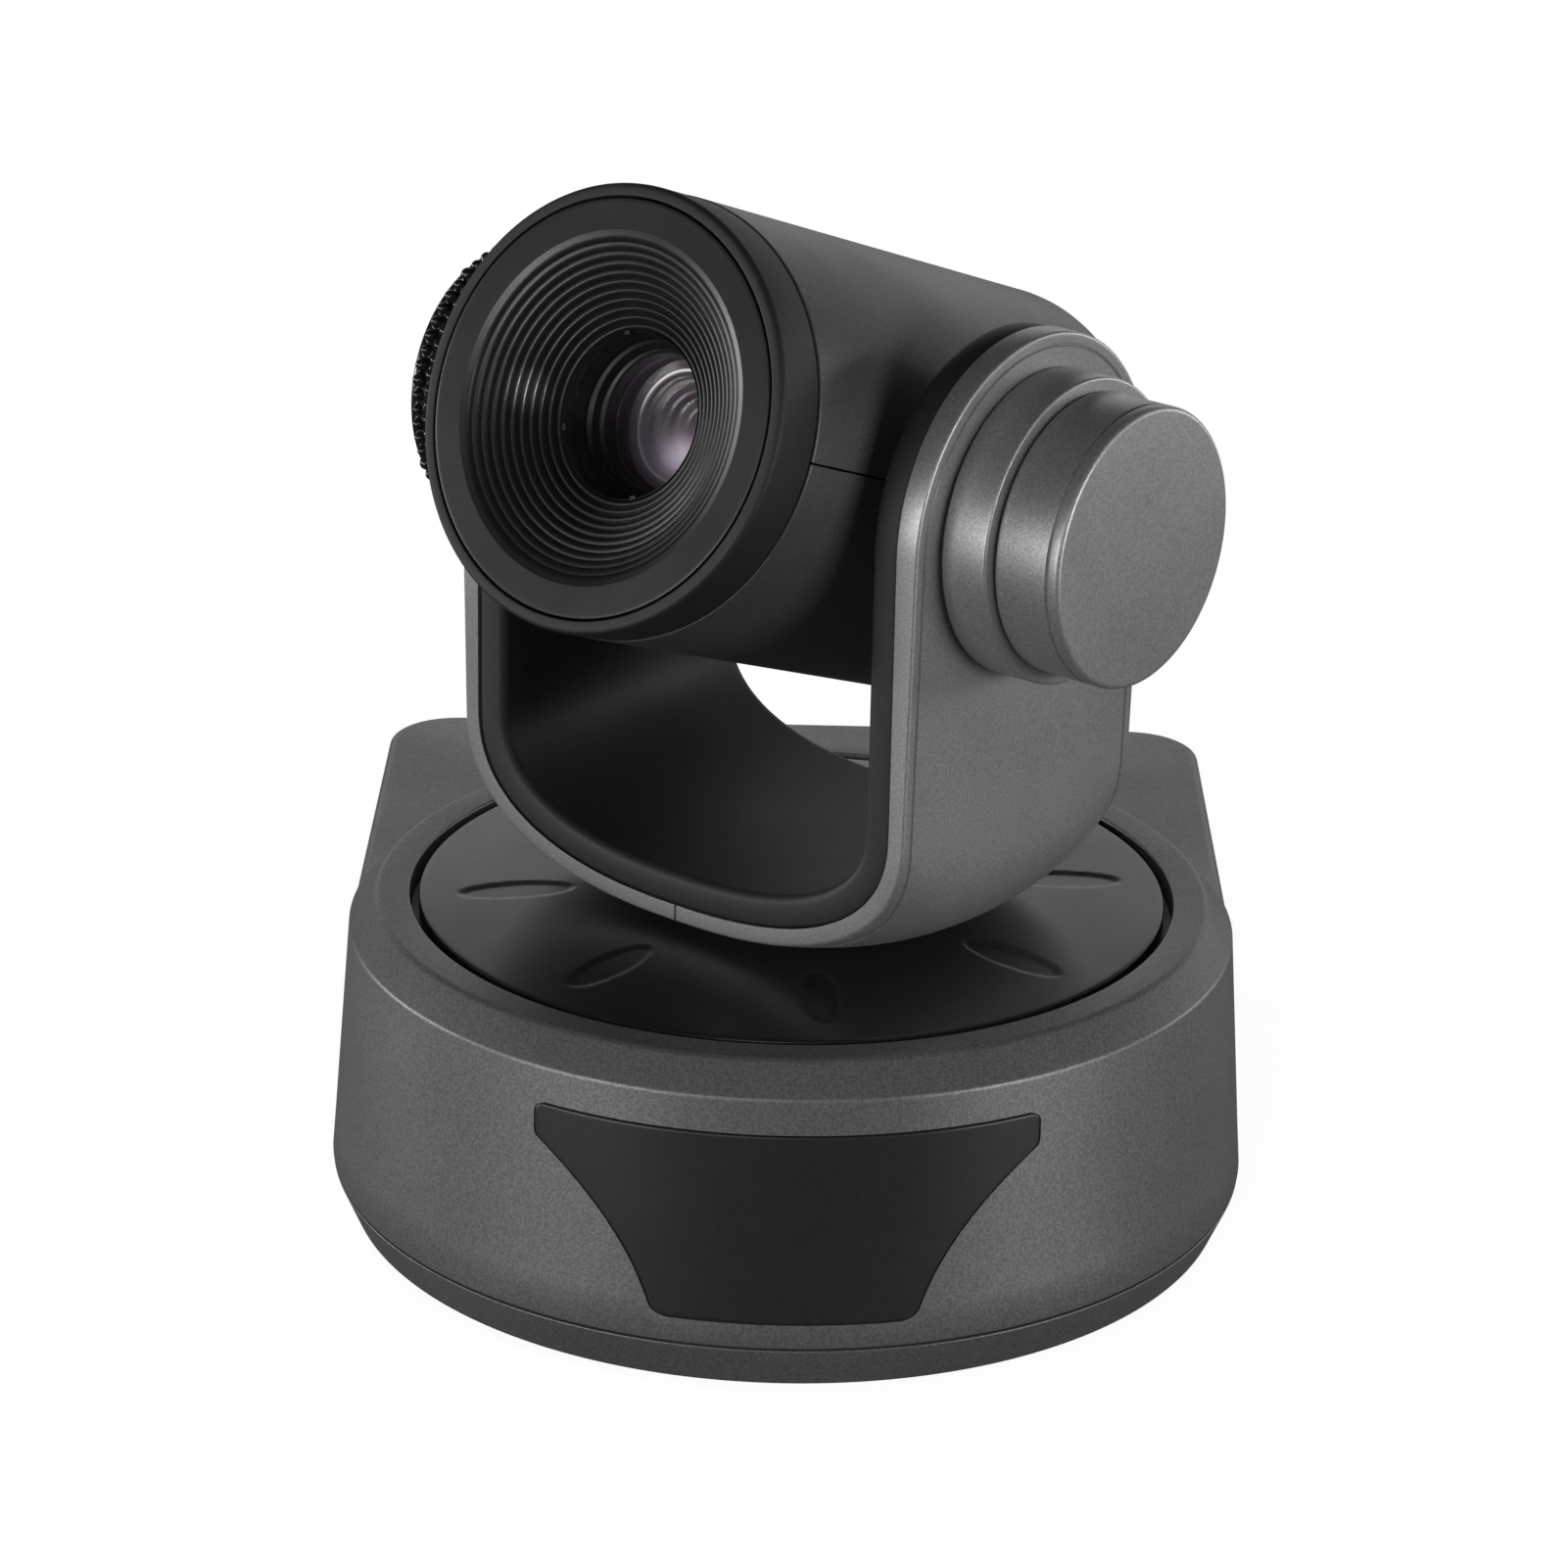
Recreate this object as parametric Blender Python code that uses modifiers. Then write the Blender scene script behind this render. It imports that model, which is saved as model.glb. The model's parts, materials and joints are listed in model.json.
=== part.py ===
"""Desktop pan-tilt-zoom camera, built as separate pieces in metres, +Z up.

Origin: the point on the table right under the pan axis. The front window looks along -Y.
The fork stands panned by PAN_REST and the head is tilted up by TILT_REST, so fork pieces are
modelled at home under the pan_axis empty and head pieces under the tilt_axis empty.
In the fork's own frame -Y is forward and +X is the right-hand side seen from the front.
"""
import math

import bmesh
import bpy
from mathutils import Vector

# ---------------------------------------------------------------- driving dimensions (millimetres)
MM = 0.001
GAP = 0.3                      # clearance between neighbouring pieces
PAD_PROUD = 1.2                # the rubber pad lifts the housing off the table

BASE_RADIUS = 64.0             # the round drum, at the foot of its wall
BLOCK_HALF = 63.7              # half the width of the rear block that joins the drum
BLOCK_BACK = 78.3              # from the pan axis to the back of the block
BLOCK_CORNER = 11.0
BLOCK_TOP = 41.2               # flat top of the block, below the drum's rim
BLOCK_EDGE = 1.5               # bevel round the block's top
FOOT_INSET = 2.7               # the lower edge of the tray is this much smaller
TRAY_HEIGHT = 6.2
WALL_FOOT = 6.5                # the wall starts here, above the seam
WALL_TOP = 40.9
WALL_DRAFT = 2.6               # inset of the wall at its top
DECK_TOP = 45.1
DECK_INSET = 6.4               # inset of the drum at the top of its bevel
RIM_EDGE = 0.3                 # small bevel on the drum's rim
WALL = 2.2
WELL_RADIUS = 53.0
WELL_FLOOR = 41.5
WELL_BORE = 40.0

DISC_RADIUS = 51.7
DISC_EDGE_TOP = 44.9
DISC_DOME = 1.5                # rise from the rim to the middle
DISC_UNDERSIDE = 42.6
DIMPLES = 8
DIMPLE_RADIUS = 38.3
DIMPLE_LENGTH = 16.6
DIMPLE_WIDTH = 5.6
DIMPLE_DEPTH = 0.7

TILT_HEIGHT = 107.8            # tilt axis above the housing's lower edge
FORK_HALF_WIDTH = 38.5
FORK_HALF_DEPTH = 25.0
FORK_FLOOR = 46.8              # underside of the bowl in the middle
FORK_SHOULDER = 70.0           # above this the arms are straight
ARM_FLARE = 1.2                # the outer faces lean out by this much at the arms' tops
FORK_SKIN = 2.4
LINER_HALF_GAP = 31.7          # inner faces of the arms
LINER_FLOOR = 54.6
LINER_WALL = 1.5
ROUND_EDGE = 2.4               # superellipse exponent of the fork at its front and back
ROUND_MIDDLE = 4.3             # and half way between them

LENS_RISE = 0.45               # the lens axis passes just above the tilt axis
HEAD_RADIUS = 29.2
HEAD_WALL = 2.0
RING_BACK = 36.85              # lens ring, from the tilt axis
RING_FRONT = 44.5
SEAM_RADIUS = 27.2
RECESS_RADIUS = 22.5
BORE_RADIUS = 10.9
RECESS_FLOOR = 37.8
RIBS = 11
REAR_REACH = 50.2              # the rear dome stays this close to the tilt axis
REAR_STRAIGHT = 40.3           # the straight part of the shell ends here

HUB_RADIUS = 20.4
HUB_START = 39.7               # clear of the leaning outer face
HUB_STEP = 46.6
CAP_RADIUS = 18.6
CAP_END = 56.8
LEFT_CAP_RADIUS = 20.0
LEFT_CAP_END = 54.0
HUB_BORE = 16.6

PAN_REST = -39.0               # degrees about +Z
TILT_REST = 20.8               # degrees upward

PANEL_HALF = 47.0              # the rear panel
PANEL_LOW = 11.0
PANEL_HIGH = 35.0
PANEL_INSET = 2.5              # its face lies this far in from the block's foot
PANEL_THICK = 1.8
SOCKET_PROUD = 0.6
ROUND_SOCKETS = (("dc_jack", -34.0, 4.0), ("serial_port_in", 14.0, 5.0), ("serial_port_out", 32.0, 5.0))
USB_PLACE = -10.0
USB_HALF = 6.0
USB_TALL = 5.4

PAD_RADIUS = 30.0
PAD_POCKET = 0.8               # the tray takes in this much of the pad
BUSH_RADIUS = 5.0
BUSH_BORE = 3.2
BUSH_PLACE = (0, 42.0, 0)
SCREW_PLACES = ((-46, -24, 0), (46, -24, 0), (-50, 50, 0), (50, 50, 0))
SCREW_SHANK = 1.3
SCREW_HEAD = 2.8

SHAFT_RADIUS = 12.0
SHAFT_BORE = 8.0
FLANGE_RADIUS = 15.0
FLANGE_LOW = 49.6              # the fork's frame stands on the flange
FLANGE_HIGH = 51.3
PAN_BEARING_OUTER = 18.0
CARRIER_LOW = 36.9
CARRIER_HIGH = 39.0
PULLEY_RADIUS = 20.0
MOTOR_PULLEY_RADIUS = 5.0
MOTOR_REACH = 40.0             # pan motor behind the pan axis
BELT_LEVEL = 30.5
BELT_HEIGHT = 4.0
BELT_THICKNESS = 1.2
PAN_MOTOR_RADIUS = 15.0
PAN_MOTOR_LOW = 8.0
PAN_MOTOR_HIGH = 25.0
BRACKET_LOW = 26.4
BRACKET_HIGH = 28.0

BEARING_OUTER = 9.2            # tilt bearings, seen from the tilt axis
BEARING_START = 33.8
BEARING_END = 37.8
JOURNAL_RADIUS = 5.0
BOSS_RADIUS = 8.0
BOSS_START = 22.6
BOSS_END = 33.4
MOTOR_SHAFT_RADIUS = 3.0
TILT_MOTOR_START = 40.0
TILT_MOTOR_END = 53.0

BARREL_RADIUS = 12.5
BARREL_BORE = 9.0
BARREL_BACK = -16.0
CELL_RADIUS = 8.4              # the sliding lens cells
LENS_RIM = 8.7                 # the front lens in its seat
LENS_LEVEL = 25.8

RIB_STEPS = 36                 # segments of the finely stepped baffle
BIG_STEPS = 48                 # segments of large round pieces
MID_STEPS = 24
SMALL_STEPS = 16
SCREW_STEPS = 12
BOWL_STEPS = 8                 # segments of half a U section

ORIGIN = (0, 0, 0)
ALONG_FORWARD = (math.pi / 2, 0, 0)       # turns a piece's own +Z to -Y
ALONG_RIGHT = (0, math.pi / 2, 0)         # turns it to +X
ALONG_LEFT = (0, -math.pi / 2, 0)         # turns it to -X

COLLECTION_NAME = "ptz_camera"


# ---------------------------------------------------------------- scene and material helpers
def clear_scene():
    for obj in list(bpy.data.objects):
        bpy.data.objects.remove(obj, do_unlink=True)


def new_collection(name):
    collection = bpy.data.collections.new(name)
    bpy.context.scene.collection.children.link(collection)
    return collection


def material(name, colour, roughness, metallic=0.0, transmission=0.0):
    mat = bpy.data.materials.new(name)
    mat.use_nodes = True
    shader = mat.node_tree.nodes["Principled BSDF"]
    shader.inputs["Base Color"].default_value = (*colour, 1.0)
    shader.inputs["Roughness"].default_value = roughness
    shader.inputs["Metallic"].default_value = metallic
    shader.inputs["Transmission Weight"].default_value = transmission
    mat.diffuse_color = (*colour, 1.0)
    return mat


def level(height):
    """Height above the table of a level given above the housing's lower edge."""
    return height + PAD_PROUD


def place(obj, mat, parent=None, location=ORIGIN, rotation=ORIGIN):
    """Put a new object in the model's collection with its material, place and parent."""
    obj.location = [value * MM for value in location]
    obj.rotation_euler = rotation
    obj.parent = parent
    obj.data.materials.append(mat)
    PARTS.objects.link(obj)
    return obj


def shade(mesh):
    mesh.shade_smooth()
    mesh.set_sharp_from_angle(angle=math.radians(35))


def as_cutter(obj, parent=None, location=ORIGIN, rotation=ORIGIN):
    obj.location = [value * MM for value in location]
    obj.rotation_euler = rotation
    obj.parent = parent
    obj.hide_render = True
    obj.display_type = "WIRE"
    CUTTERS.objects.link(obj)
    return obj


def boolean(obj, other, operation="DIFFERENCE"):
    modifier = obj.modifiers.new(operation.title(), "BOOLEAN")
    modifier.operation = operation
    modifier.object = other
    modifier.solver = "EXACT"


# ---------------------------------------------------------------- shape helpers
def mesh_object(name, bm):
    bmesh.ops.recalc_face_normals(bm, faces=bm.faces)
    mesh = bpy.data.meshes.new(name)
    bm.to_mesh(mesh)
    bm.free()
    shade(mesh)
    return bpy.data.objects.new(name, mesh)


def turned(name, profile, steps, closed=True):
    """A turned shape: (radius, height) points that run down the outer side, top to bottom.

    A closed profile makes a ring; an open one starts and ends on the axis.
    """
    mesh = bpy.data.meshes.new(name)
    points = [(radius * MM, 0, height * MM) for radius, height in profile]
    edges = [(i, i + 1) for i in range(len(points) - 1)]
    if closed:
        edges.append((len(points) - 1, 0))
    mesh.from_pydata(points, edges, [])
    obj = bpy.data.objects.new(name, mesh)
    screw = obj.modifiers.new("Screw", "SCREW")
    screw.axis = "Z"
    screw.steps = steps
    screw.render_steps = steps
    screw.use_merge_vertices = True
    screw.merge_threshold = 0.00001
    screw.use_smooth_shade = True
    return obj


def ring(name, inner, outer, low, high, steps):
    return turned(name, [(inner, high), (outer, high), (outer, low), (inner, low)], steps)


def cylinder(name, radius, low, high, steps=SMALL_STEPS):
    return turned(name, [(0, high), (radius, high), (radius, low), (0, low)], steps, closed=False)


def box(name, low, high):
    """A box between two corners."""
    bm = bmesh.new()
    bmesh.ops.create_cube(bm, size=1.0)
    for vertex in bm.verts:
        for axis in range(3):
            middle = (low[axis] + high[axis]) / 2
            vertex.co[axis] = (middle + vertex.co[axis] * (high[axis] - low[axis])) * MM
    return mesh_object(name, bm)


def cap_strip(bm, row):
    """Close a loop whose first half mirrors its second with a ladder of four-sided faces."""
    last = len(row) - 1
    for i in range(len(row) // 2 - 1):
        bm.faces.new((row[i], row[i + 1], row[last - i - 1], row[last - i]))


def loft(name, loops, cap=None):
    """Skin closed loops of equal length; the last joins the first unless the ends are capped."""
    bm = bmesh.new()
    rows = [[bm.verts.new(Vector(point) * MM) for point in loop] for loop in loops]
    pairs = list(zip(rows, rows[1:]))
    if cap is None:
        pairs.append((rows[-1], rows[0]))
    for upper, lower in pairs:
        for i in range(len(upper)):
            j = (i + 1) % len(upper)
            bm.faces.new((upper[i], upper[j], lower[j], lower[i]))
    for end in (rows[0], rows[-1]):
        if cap == "flat":
            bm.faces.new(end)
        elif cap == "strip":
            cap_strip(bm, end)
    bmesh.ops.triangulate(bm, faces=bm.faces)      # no Boolean should meet a warped face
    return mesh_object(name, bm)


def prism(name, outline, low, high):
    """A flat outline of (x, z) points pushed along Y from low to high."""
    return loft(name, [[(x, y, z) for x, z in outline] for y in (low, high)], cap="strip")


# ---------------------------------------------------------------- base housing
def drum_inset(height):
    """How far the drum has drawn in at a height: a leaning wall, then the bevel."""
    if height <= WALL_TOP:
        return WALL_DRAFT * (height - WALL_FOOT) / (WALL_TOP - WALL_FOOT)
    return WALL_DRAFT + (DECK_INSET - WALL_DRAFT) * (height - WALL_TOP) / (DECK_TOP - WALL_TOP)


def base_outline(inset, height, block_inset=None, radius=None):
    """Outline of the base at a height: the round drum in front joined with the rear block.

    Points of the block that would fall inside the drum lie on the drum instead. With a radius
    every point is pulled onto a circle, so that round and square loops can be skinned together.
    """
    shift = inset if block_inset is None else block_inset
    drum = BASE_RADIUS - inset
    half = BLOCK_HALF - shift
    back = BLOCK_BACK - shift
    corner = BLOCK_CORNER - shift / 2
    front = [math.pi + math.pi * i / 32 for i in range(33)]
    points = [(drum * math.cos(a), drum * math.sin(a)) for a in front]
    slopes = [math.tan(math.radians(7.5 * i)) for i in range(6)]
    arc = [math.pi / 8 * i for i in range(5)]
    side = [(half, half * slope) for slope in slopes[1:]]
    side += [(half - corner + corner * math.cos(a), back - corner + corner * math.sin(a)) for a in arc]
    side += [(back * slope, back) for slope in slopes[4:0:-1]]
    points += side + [(0.0, back)] + [(-x, y) for x, y in reversed(side)]
    outline = []
    for x, y in points:
        reach = radius or max(drum, math.hypot(x, y))
        scale = reach / math.hypot(x, y)
        outline.append((x * scale, y * scale, level(height)))
    return outline


def base_circle(radius, height):
    return base_outline(0, height, radius=radius)


def window_outline(grow=0.0):
    """Trapezoid with hollow sides, wide at the top, given as (x, height)."""
    top, shoulder, low, foot = 36.0, 31.5, 12.4, 10.0
    wide, waist, narrow = 32.9, 21.6, 17.8
    side = [(wide - 1.2, top), (wide, top - 1.2)]
    for i in range(9):
        t = i / 8
        side.append(((1 - t) ** 2 * wide + 2 * t * (1 - t) * waist + t * t * narrow,
                     (1 - t) ** 2 * shoulder + 2 * t * (1 - t) * 23.0 + t * t * low))
    side += [(narrow - 1.0, foot + 0.8), (narrow - 3.0, foot)]
    right = [(x + grow, z + (grow if z > shoulder else 0) - (grow if z <= low else 0)) for x, z in side]
    left = [(-x, z) for x, z in reversed(right)]
    return [(x, level(z)) for x, z in right + left]


def wall_radius(height):
    return BASE_RADIUS - drum_inset(height)


def base_shell(mat):
    edge_start = BLOCK_TOP - BLOCK_EDGE
    block_wall = drum_inset(edge_start)
    lip = DECK_TOP - RIM_EDGE
    step = 0.2                     # the block's top dips by this much away from the drum
    well_under = WELL_FLOOR - WALL
    loops = [
        base_outline(0, WALL_FOOT),
        base_outline(block_wall, edge_start),
        base_outline(WALL_DRAFT, WALL_TOP, block_wall + WALL_TOP - edge_start),
        base_outline(drum_inset(BLOCK_TOP), BLOCK_TOP, block_wall + BLOCK_EDGE),
        base_circle(wall_radius(BLOCK_TOP + step), BLOCK_TOP + step),
        base_circle(wall_radius(lip), lip),
        base_circle(wall_radius(lip) - 2 * RIM_EDGE, DECK_TOP),
        base_circle(WELL_RADIUS, DECK_TOP),
        base_circle(WELL_RADIUS, WELL_FLOOR),
        base_circle(WELL_BORE, WELL_FLOOR),
        base_circle(WELL_BORE, well_under),
        base_circle(WELL_RADIUS + WALL, well_under),
        base_circle(WELL_RADIUS + WALL, DECK_TOP - WALL),
        base_circle(wall_radius(DECK_TOP) - step, DECK_TOP - WALL),
        base_circle(wall_radius(well_under) - WALL - step, well_under),
        base_outline(block_wall + WALL, well_under - step),
        base_outline(WALL, WALL_FOOT),
    ]
    shell = place(loft("base_shell", loops), mat)
    window = as_cutter(prism("window_cutter", window_outline(GAP), -70, -40))
    boolean(shell, window)
    opening = as_cutter(box("panel_cutter",
                            (-PANEL_HALF - GAP, BLOCK_BACK - 10, level(PANEL_LOW - GAP)),
                            (PANEL_HALF + GAP, BLOCK_BACK + 5, level(PANEL_HIGH + GAP))))
    boolean(shell, opening)


def ir_window(mat):
    low, high = 5.0, 39.0
    proud, thick = 0.25, 2.0
    plate = turned("ir_window", [
        (wall_radius(high) + proud - thick, level(high)),
        (wall_radius(high) + proud, level(high)),
        (wall_radius(low) + proud, level(low)),
        (wall_radius(low) + proud - thick, level(low)),
    ], BIG_STEPS * 2)
    place(plate, mat)
    outline = as_cutter(prism("window_shape", window_outline(), -72, -30))
    boolean(plate, outline, "INTERSECT")


def bottom_cover(mat):
    floor_top = 4.2
    loops = [
        base_outline(FOOT_INSET, 0),
        base_outline(0, TRAY_HEIGHT),
        base_outline(WALL, TRAY_HEIGHT),
        base_outline(FOOT_INSET + WALL, floor_top),
    ]
    tray = place(loft("bottom_cover", loops, cap="flat"), mat)
    pocket = as_cutter(cylinder("pad_pocket", PAD_RADIUS + GAP, 0, level(PAD_POCKET), MID_STEPS))
    boolean(tray, pocket)
    above = level(TRAY_HEIGHT) + 2
    bush_hole = as_cutter(cylinder("bush_hole", BUSH_RADIUS + GAP, 0, above), location=BUSH_PLACE)
    boolean(tray, bush_hole)
    shank, head, seat = SCREW_SHANK + 2 * GAP, SCREW_HEAD + 0.5, 3.0 + GAP
    sink = [(0, above), (shank, above), (shank, seat), (head, seat), (head, 0), (0, 0)]
    for index, spot in enumerate(SCREW_PLACES):
        name = f"screw_sink_{index + 1}"
        boolean(tray, as_cutter(turned(name, sink, SCREW_STEPS, closed=False), location=spot))


def base_fittings(mats):
    """Pad, bush and case screws under the tray."""
    place(cylinder("rubber_pad", PAD_RADIUS, 0, level(PAD_POCKET) - GAP, MID_STEPS), mats["rubber"])
    place(ring("tripod_bush", BUSH_BORE, BUSH_RADIUS, level(0.2), level(8.0), SMALL_STEPS),
          mats["brass"], location=BUSH_PLACE)
    top, seat, low = 9.5, 3.0, 1.8
    profile = [(0, top), (SCREW_SHANK, top), (SCREW_SHANK, seat), (SCREW_HEAD, seat), (SCREW_HEAD, low),
               (0, low)]
    for index, spot in enumerate(SCREW_PLACES):
        screw = turned(f"case_screw_{index + 1}", profile, SCREW_STEPS, closed=False)
        place(screw, mats["steel"], location=spot)


def round_socket(name, x, radius, panel, face, metal):
    """Round socket with a centre pin, in its own hole in the panel."""
    spot = (x, face, level((PANEL_LOW + PANEL_HIGH) / 2))
    boolean(panel, as_cutter(cylinder(name + "_hole", radius + GAP, -5, 5), None, spot, ALONG_FORWARD))
    deep, floor, pin = 9.0, 6.0, 0.9
    wall = radius - 1.4
    profile = [(0, deep), (radius, deep), (radius, 0), (wall, 0), (wall, floor), (pin, floor),
               (pin, SOCKET_PROUD), (0, SOCKET_PROUD)]
    place(turned(name, profile, SMALL_STEPS, closed=False), metal, location=spot, rotation=ALONG_FORWARD)


def usb_port(panel, front, face, metal):
    """Square socket with a tongue, in its own hole in the panel."""
    middle = (PANEL_LOW + PANEL_HIGH) / 2
    left, right = USB_PLACE - USB_HALF, USB_PLACE + USB_HALF
    low, high = level(middle - USB_TALL), level(middle + USB_TALL)
    shell = 1.0
    boolean(panel, as_cutter(box("usb_hole", (left - GAP, front - 2, low - GAP),
                                 (right + GAP, face + 2, high + GAP))))
    usb = place(box("usb_port", (left, front - 9, low), (right, face, high)), metal)
    boolean(usb, as_cutter(box("usb_cavity", (left + shell, front - 6, low + shell),
                               (right - shell, face + 2, high - shell))))
    tongue = as_cutter(box("usb_tongue", (USB_PLACE - 3.5, front - 7, level(middle - 1)),
                           (USB_PLACE + 3.5, face - 1.6, level(middle + 1))))
    boolean(usb, tongue, "UNION")


def rear_panel(mats):
    """Flat panel with its sockets, set in the back wall."""
    back = BLOCK_BACK - PANEL_INSET
    front = back - PANEL_THICK
    panel = place(box("rear_panel", (-PANEL_HALF, front, level(PANEL_LOW)),
                      (PANEL_HALF, back, level(PANEL_HIGH))), mats["black"])
    face = back + SOCKET_PROUD
    for name, x, radius in ROUND_SOCKETS:
        round_socket(name, x, radius, panel, face, mats["metal"])
    usb_port(panel, front, face, mats["metal"])


def boards(mats):
    """Circuit boards: each is one plate with its larger chips standing on it."""
    low, high = 9.0, 10.6
    board = place(box("main_board", (-42, -34, level(low)), (42, 10, level(high))), mats["board"])
    chips = ((-20, -14, 8, 1.4), (8, -18, 6, 1.2), (28, -6, 5, 3.0))
    for index, (x, y, half, tall) in enumerate(chips):
        chip = as_cutter(box(f"chip_{index + 1}", (x - half, y - half, level(high - 0.4)),
                             (x + half, y + half, level(high + tall))))
        boolean(board, chip, "UNION")
    place(box("indicator_board", (-14, -58, level(18)), (14, -56.4, level(30))), mats["board"])


# ---------------------------------------------------------------- pan drive
def belt_outline(front_radius, back_radius, reach, offset, count=12):
    """Outline of a belt round two pulleys a reach apart along +Y, as (x, y) points."""
    spread = math.asin((front_radius - back_radius) / reach)
    points = []
    for i in range(count + 1):
        a = math.pi - spread + (math.pi + 2 * spread) * i / count
        points.append(((front_radius + offset) * math.cos(a), (front_radius + offset) * math.sin(a)))
    for i in range(count + 1):
        a = spread + (math.pi - 2 * spread) * i / count
        points.append(((back_radius + offset) * math.cos(a), reach + (back_radius + offset) * math.sin(a)))
    return points


def pan_drive(mats):
    """Carrier, bearing, motor, bracket, motor pulley and belt that turn the fork."""
    lip_inner, lip_outer, lip_top = PAN_BEARING_OUTER + GAP, 20.8, level(41.2)
    low, high = level(CARRIER_LOW), level(CARRIER_HIGH)
    carrier = [(lip_inner, lip_top), (lip_outer, lip_top), (lip_outer, high), (50.0, high), (50.0, low),
               (lip_inner, low)]
    place(turned("bearing_carrier", carrier, BIG_STEPS), mats["metal"])
    bearing = ring("pan_bearing", SHAFT_RADIUS + GAP, PAN_BEARING_OUTER, low, level(40.8), MID_STEPS)
    place(bearing, mats["steel"])

    spot = (0, MOTOR_REACH, 0)
    collar, collar_top, top = 6.0, level(26.0), level(PAN_MOTOR_HIGH)
    motor = [(0, collar_top), (collar, collar_top), (collar, top), (PAN_MOTOR_RADIUS, top),
             (PAN_MOTOR_RADIUS, level(PAN_MOTOR_LOW)), (0, level(PAN_MOTOR_LOW))]
    place(turned("pan_motor", motor, MID_STEPS, closed=False), mats["steel"], location=spot)
    motor_bracket(spot, mats["metal"])

    shaft, shaft_top = 2.0, level(BELT_LEVEL + BELT_HEIGHT + 1)
    low, high = level(BELT_LEVEL), level(BELT_LEVEL + BELT_HEIGHT)
    pulley = [(0, shaft_top), (shaft, shaft_top), (shaft, high), (MOTOR_PULLEY_RADIUS, high),
              (MOTOR_PULLEY_RADIUS, low), (shaft, low), (shaft, level(BRACKET_LOW)),
              (0, level(BRACKET_LOW))]
    place(turned("pan_motor_pulley", pulley, SMALL_STEPS, closed=False), mats["steel"], location=spot)
    inner = belt_outline(PULLEY_RADIUS, MOTOR_PULLEY_RADIUS, MOTOR_REACH, GAP)
    outer = belt_outline(PULLEY_RADIUS, MOTOR_PULLEY_RADIUS, MOTOR_REACH, GAP + BELT_THICKNESS)
    loops = [[(x, y, z) for x, y in line] for line, z in
             ((outer, low), (outer, high), (inner, high), (inner, low))]
    place(loft("pan_belt", loops), mats["rubber"])


def motor_bracket(spot, metal):
    """Plate over the motor, with two posts up to the well's underside."""
    half, post = 19, 2
    low, high = level(BRACKET_LOW), level(BRACKET_HIGH)
    bracket = box("motor_bracket", (-half, MOTOR_REACH - 17, low), (half, MOTOR_REACH + 14, high))
    place(bracket, metal)
    boolean(bracket, as_cutter(cylinder("bracket_bore", 7.0, low - 5, high + 5), location=spot))
    for name, left in (("bracket_post_left", -half), ("bracket_post_right", half - post)):
        upright = as_cutter(box(name, (left, MOTOR_REACH - 10, low),
                                (left + post, MOTOR_REACH - 4, level(CARRIER_LOW - GAP))))
        boolean(bracket, upright, "UNION")


# ---------------------------------------------------------------- turntable and fork
def disc_height(radius):
    """Top of the slightly domed disc."""
    return level(DISC_EDGE_TOP + DISC_DOME * (1 - (radius / DISC_RADIUS) ** 2))


def turntable(mats, pan):
    rim = 0.8
    inner = SHAFT_RADIUS + GAP
    outer = DISC_RADIUS - rim
    profile = []
    for i in range(6):
        radius = inner + (outer - inner) * i / 5
        profile.append((radius, disc_height(radius)))
    profile += [(DISC_RADIUS - 0.2, level(DISC_EDGE_TOP - 0.25)), (DISC_RADIUS, level(DISC_EDGE_TOP - rim)),
                (DISC_RADIUS, level(DISC_UNDERSIDE)), (inner, level(DISC_UNDERSIDE))]
    disc = place(turned("turntable_disc", profile, BIG_STEPS), mats["black"], pan)
    for index in range(DIMPLES):
        boolean(disc, dimple_cutter(index, 2 * math.pi * index / DIMPLES, pan))


def dimple_cutter(index, angle, pan):
    """A flattened ball that leaves a shallow oval dimple pointing outward."""
    bm = bmesh.new()
    bmesh.ops.create_uvsphere(bm, u_segments=14, v_segments=8, radius=1.0)
    half_height = 4.0 * DIMPLE_DEPTH
    stretch = 1 / math.sqrt(1 - (1 - DIMPLE_DEPTH / half_height) ** 2)
    size = (DIMPLE_WIDTH / 2 * stretch, DIMPLE_LENGTH / 2 * stretch, half_height)
    for vertex in bm.verts:
        vertex.co = Vector([vertex.co[axis] * size[axis] * MM for axis in range(3)])
    centre = disc_height(DIMPLE_RADIUS) + half_height - DIMPLE_DEPTH
    spot = (DIMPLE_RADIUS * math.sin(angle), -DIMPLE_RADIUS * math.cos(angle), centre)
    lean = -math.atan(2 * DISC_DOME * DIMPLE_RADIUS / DISC_RADIUS ** 2)
    return as_cutter(mesh_object(f"dimple_{index + 1}", bm), pan, spot, (lean, 0, angle))


def pan_spindle(mats, pan):
    """Hollow shaft with a flange under the fork's frame, and the pulley on it."""
    top, step, foot = level(FLANGE_HIGH), level(FLANGE_LOW), level(28.0)
    shaft = [(SHAFT_BORE, top), (FLANGE_RADIUS, top), (FLANGE_RADIUS, step), (SHAFT_RADIUS, step),
             (SHAFT_RADIUS, foot), (SHAFT_BORE, foot)]
    place(turned("pan_shaft", shaft, MID_STEPS), mats["steel"], pan)
    inner, hub_outer, hub_top = SHAFT_RADIUS + GAP, SHAFT_RADIUS + 3, level(36.0)
    low, high = level(BELT_LEVEL), level(BELT_LEVEL + BELT_HEIGHT)
    pulley = [(inner, hub_top), (hub_outer, hub_top), (hub_outer, high), (PULLEY_RADIUS, high),
              (PULLEY_RADIUS, low), (inner, low)]
    place(turned("pan_pulley", pulley, MID_STEPS), mats["black"], pan)


def arch_top(depth, half_depth):
    """Height of an arm's round top at a depth; the arc is centred on the tilt axis."""
    return TILT_HEIGHT + math.sqrt(max(half_depth ** 2 - depth ** 2, 0.0))


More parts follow.
